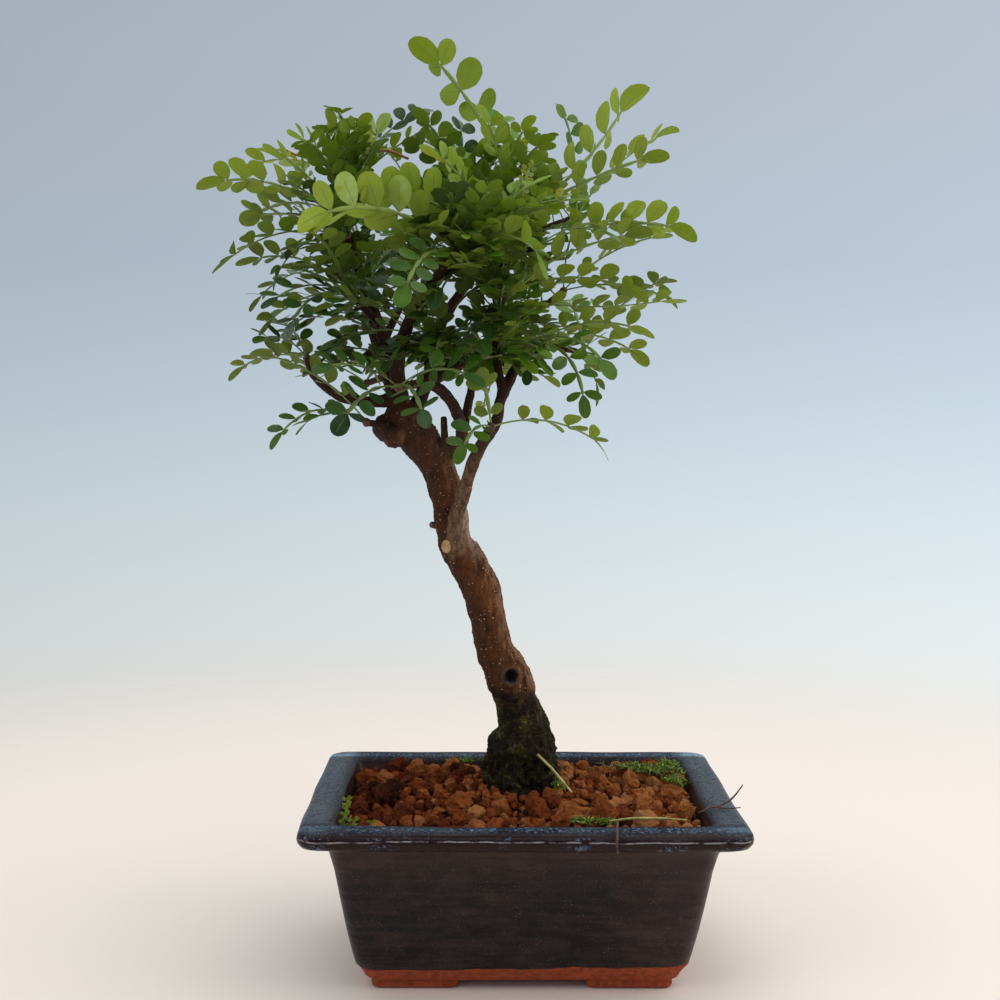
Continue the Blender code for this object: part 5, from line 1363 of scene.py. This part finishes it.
BEFORE_LIMBS = [
    ((-25, -10, 231), (-6, -26, 240), 3, 30, 5, 7.6, 0.14), ((-24, -10, 241), (-31, -34, 233), 4, 25, 4, 8.2, 0.10),
    ((-21, -8, 226), (-10, -30, 230), 3, 25, 4, 7.4, 0.22), ((-14, -10, 246), (2, -28, 247), 3, 30, 4, 7.6, 0.30),
    ((-30, -12, 236), (-19, -34, 246), 2, 20, 4, 7.0, 0.18), ((-27, -10, 222), (-36, -30, 226), 3, 25, 4, 7.6, 0.12),
]
heart = inner_fronds(np.random.default_rng(5))
heart += as_fronds(BEFORE_LIMBS)
for number in range(PIECES):
    some = build_fronds(heart[number::PIECES], np.random.default_rng(200 + number))
    mount(leafy_piece(f"inner_fronds_{number + 1}", *some), "leaf")
print(len(heart), "inner fronds")

# %% [markdown]
# ## Young shoots and withered ends
# A few small things give the crown its life: pale shoots that have just opened, two yellow tips that are still
# folded like ferns, one yellow leaflet low down, and two orange ribs whose leaflets have dropped.

# %% Shoots
SHOOTS = [
    ((-12, -27, 250), (-36, -24, 284), 5, 30, 7, 7.4, 0.92), ((-3, -4, 260), (21, -2, 270), 3, 20, 4, 5.6, 0.88),
    ((-3, -6, 262), (2, -9, 283), 1, 60, 7, 2.7, 1.0), ((-70, 4, 268), (-88, 0, 286), 2, 50, 7, 2.6, 1.0),
    ((-66, 8, 280), (-57, 6, 298), 2, 30, 4, 6.5, 0.86), ((-12, -14, 206), (-15, -16, 197), 0, 70, 2, 4.6, 1.0),
]
DRY_RIBS = [
    [(-68, 12, 281, 0.5), (-74, 10, 286, 0.45), (-80, 8, 285.5, 0.4), (-85, 8, 287.5, 0.35)],
    [(-42, 14, 286, 0.5), (-50, 12, 288.5, 0.45), (-57, 10, 286.5, 0.35)],
]


def thin_tubes(rows_of, step):
    """One shape of thin six-sided tubes along rows of x, y, z and radius in millimetres."""
    return gather([tube(np.array(rows) * MM, step * MM, 6) for rows in rows_of])


mount(leafy_piece("young_shoots", *build_fronds(as_fronds(SHOOTS), np.random.default_rng(61))), "leaf")
dry = plain_finish("withered_rib", 1.5, (0.220, 0.050, 0.015), (0.480, 0.170, 0.050), 0.6, 0.6, 0.2)
mount(add_mesh("withered_ribs", *thin_tubes(DRY_RIBS, 0.8), [dry.material]), "leaf")

# %% [markdown]
# ## Moss, seedlings and litter
# Moss grows where the soil stays damp: behind on the right, along the front and at the trunk. A tuft is made of
# dozens or hundreds of bent blades with three sides, all worked out together. Seedlings, bits of straw, a withered
# blade that hangs over the rim and a dark rootlet on the rim make the pot look used.

# %% Moss
# Middle x and y, half spread along both, number of blades, and height of the hummock.
TUFTS = [
    (48, 20, 12, 6, 560, 3.0), (57, 9, 4, 5, 180, 2.0), (58, 32, 3.5, 5, 180, 2.5), (18, -34.5, 3.5, 1.8, 110, 1.0),
    (27, -35, 4, 1.8, 120, 0.8), (-22, 36.5, 6, 2.2, 150, 1.0), (13, -3, 2.5, 4, 70, 0.6), (-60, -33, 1.5, 4, 26, 0.0),
]
MOSS_EDGE = np.array((61.5, 39.0))
MOSS_LONG, MOSS_HALF, MOSS_BEND = (0.9, 2.0), (0.28, 0.50), (0.6, 0.6, 0.2)


def blades(base, way, long, wide, bend):
    """Closed three-sided blades: a point goes along the way, sags aside with the square of the share, and the
    half width shrinks in a straight line to a fifth."""
    share = np.array([0.0, 0.5, 1.0])
    side = unit(np.cross(way, (0.3, 0.9, 0.2)))
    other = np.cross(way, side)
    spine = base[:, None] + (long[:, None] * share)[..., None] * way[:, None] + (share**2)[:, None] * bend[:, None]
    turn = 2 * np.pi * np.arange(3) / 3
    around = np.cos(turn)[:, None] * side[:, None] + np.sin(turn)[:, None] * other[:, None]
    rings = spine[:, :, None] + (wide[:, None] * (1 - 0.8 * share))[..., None, None] * around[:, None]
    corners = np.concatenate([spine[:, :1], rings.reshape(len(base), -1, 3), spine[:, -1:]], axis=1)
    return corners.reshape(-1, 3), copies(closed_faces(3, 3), corners.shape[1], len(base)), corners.shape[1]


draw = np.random.default_rng(71)
tufts = np.concatenate([draw.normal(row[:2], np.array(row[2:4]) * 0.5, (row[4], 2)) for row in TUFTS])
tufts = np.clip(tufts, -MOSS_EDGE, MOSS_EDGE)
counts, hummocks = zip(*(row[4:] for row in TUFTS))
hump = 1.2 * np.abs(lumps(np.column_stack([tufts, tufts[:, 0]]), 5.0, 72)) + np.repeat(hummocks, counts)
base = np.column_stack([tufts, soil_level(*tufts.T) + 0.6 + hump])
way = unit(draw.normal(size=base.shape) * (0.7, 0.7, 0.3) + (0, 0, 0.8))
long, wide = draw.uniform(*MOSS_LONG, len(base)), draw.uniform(*MOSS_HALF, len(base))
points, faces, size = blades(base, way, long, wide, draw.normal(size=base.shape) * MOSS_BEND)
green = Finish("moss")
lightness = green.value("tone") + (green.noise(0.8, 3, 0.7) - 0.5) * 0.5
green.coat(Base_Color=green.ramp(lightness, (0.0, (0.014, 0.026, 0.002)), (0.42, (0.070, 0.130, 0.004)),
                                 (0.76, (0.210, 0.310, 0.012)), (1.0, (0.460, 0.500, 0.050))),
           Roughness=0.75, Normal=green.bump(green.noise(0.4, 2), 0.1))
moss_piece = add_mesh("moss_tufts", points * MM, faces, [green.material],
                      {"tone": np.repeat(np.clip(draw.normal(0.45, 0.22, len(base)), 0, 1), size)})
mount(moss_piece, "leaf")

# %% Seedlings, straw and rootlet
# Place and height of each seedling; then arch, lift, leaflet pairs, leaflet length and tone of them all.
SEEDLINGS = [(-60.6, -24, 3.6), (-57, -35.5, 1.6), (-61, -17.8, 3.2), (-60.5, -31.5, 2.4), (-51, -37.5, 1.2)]
SEEDLING_LOOK = (0.4, 20, 2, 2.1, 0.80)
STRAWS = [
    [(5.5, -7, 74.5, 0.45), (11, -9.5, 69.5, 0.5), (17.5, -13, 62.5, 0.4)],
    [(28, -39.4, 60.8, 0.3), (36, -39.0, 61.6, 0.45), (45, -38.2, 61.4, 0.45), (54, -38.8, 61.0, 0.3)],
]
BLADE = [[(31, -38.5, 60.6, 0.3), (30.6, -42, 61.2, 0.45), (29.9, -47.5, 61.0, 0.5), (29.4, -52.6, 59.9, 0.5),
          (29.2, -53.9, 57.4, 0.4), (29.6, -54.2, 54.8, 0.3)]]
ROOTLET = [
    [(59.5, -28, 60.0, 0.3), (64, -25.2, 61.0, 0.34), (68.5, -22.6, 61.2, 0.32), (73, -19.6, 63.0, 0.26),
     (77, -17.0, 66.8, 0.18)],
    [(66, -24.2, 61.0, 0.26), (70, -25.2, 60.8, 0.26), (74.6, -25.4, 61.2, 0.18)],
    [(69, -22.3, 61.3, 0.26), (72, -23.4, 63.6, 0.22), (75, -25.0, 68.4, 0.15)],
    [(62.5, -26.2, 60.8, 0.24), (65, -22.8, 61.4, 0.20), (66.4, -20.6, 61.0, 0.16)],
]
seeds = []
for x, y, tall in SEEDLINGS:
    level = soil_level(x, y)
    seeds.append(((x, y, level), (x + 0.6, y - 0.4, level + tall + 2.0), *SEEDLING_LOOK))
mount(leafy_piece("seedlings", *build_fronds(as_fronds(seeds), np.random.default_rng(81))), "leaf")

straw = plain_finish("dry_straw", 3, (0.220, 0.200, 0.040), (0.560, 0.480, 0.180), 0.6)
root = plain_finish("dark_rootlet", 1.2, (0.020, 0.008, 0.006), (0.130, 0.050, 0.028), 0.7)
for name, rows_of, finish, slot in (("straws", STRAWS, straw, "leaf"), ("withered_blade", BLADE, root, "leaf"),
                                    ("rootlet", ROOTLET, root, "bark")):
    mount(add_mesh(name, *thin_tubes(rows_of, 0.6), [finish.material]), slot)
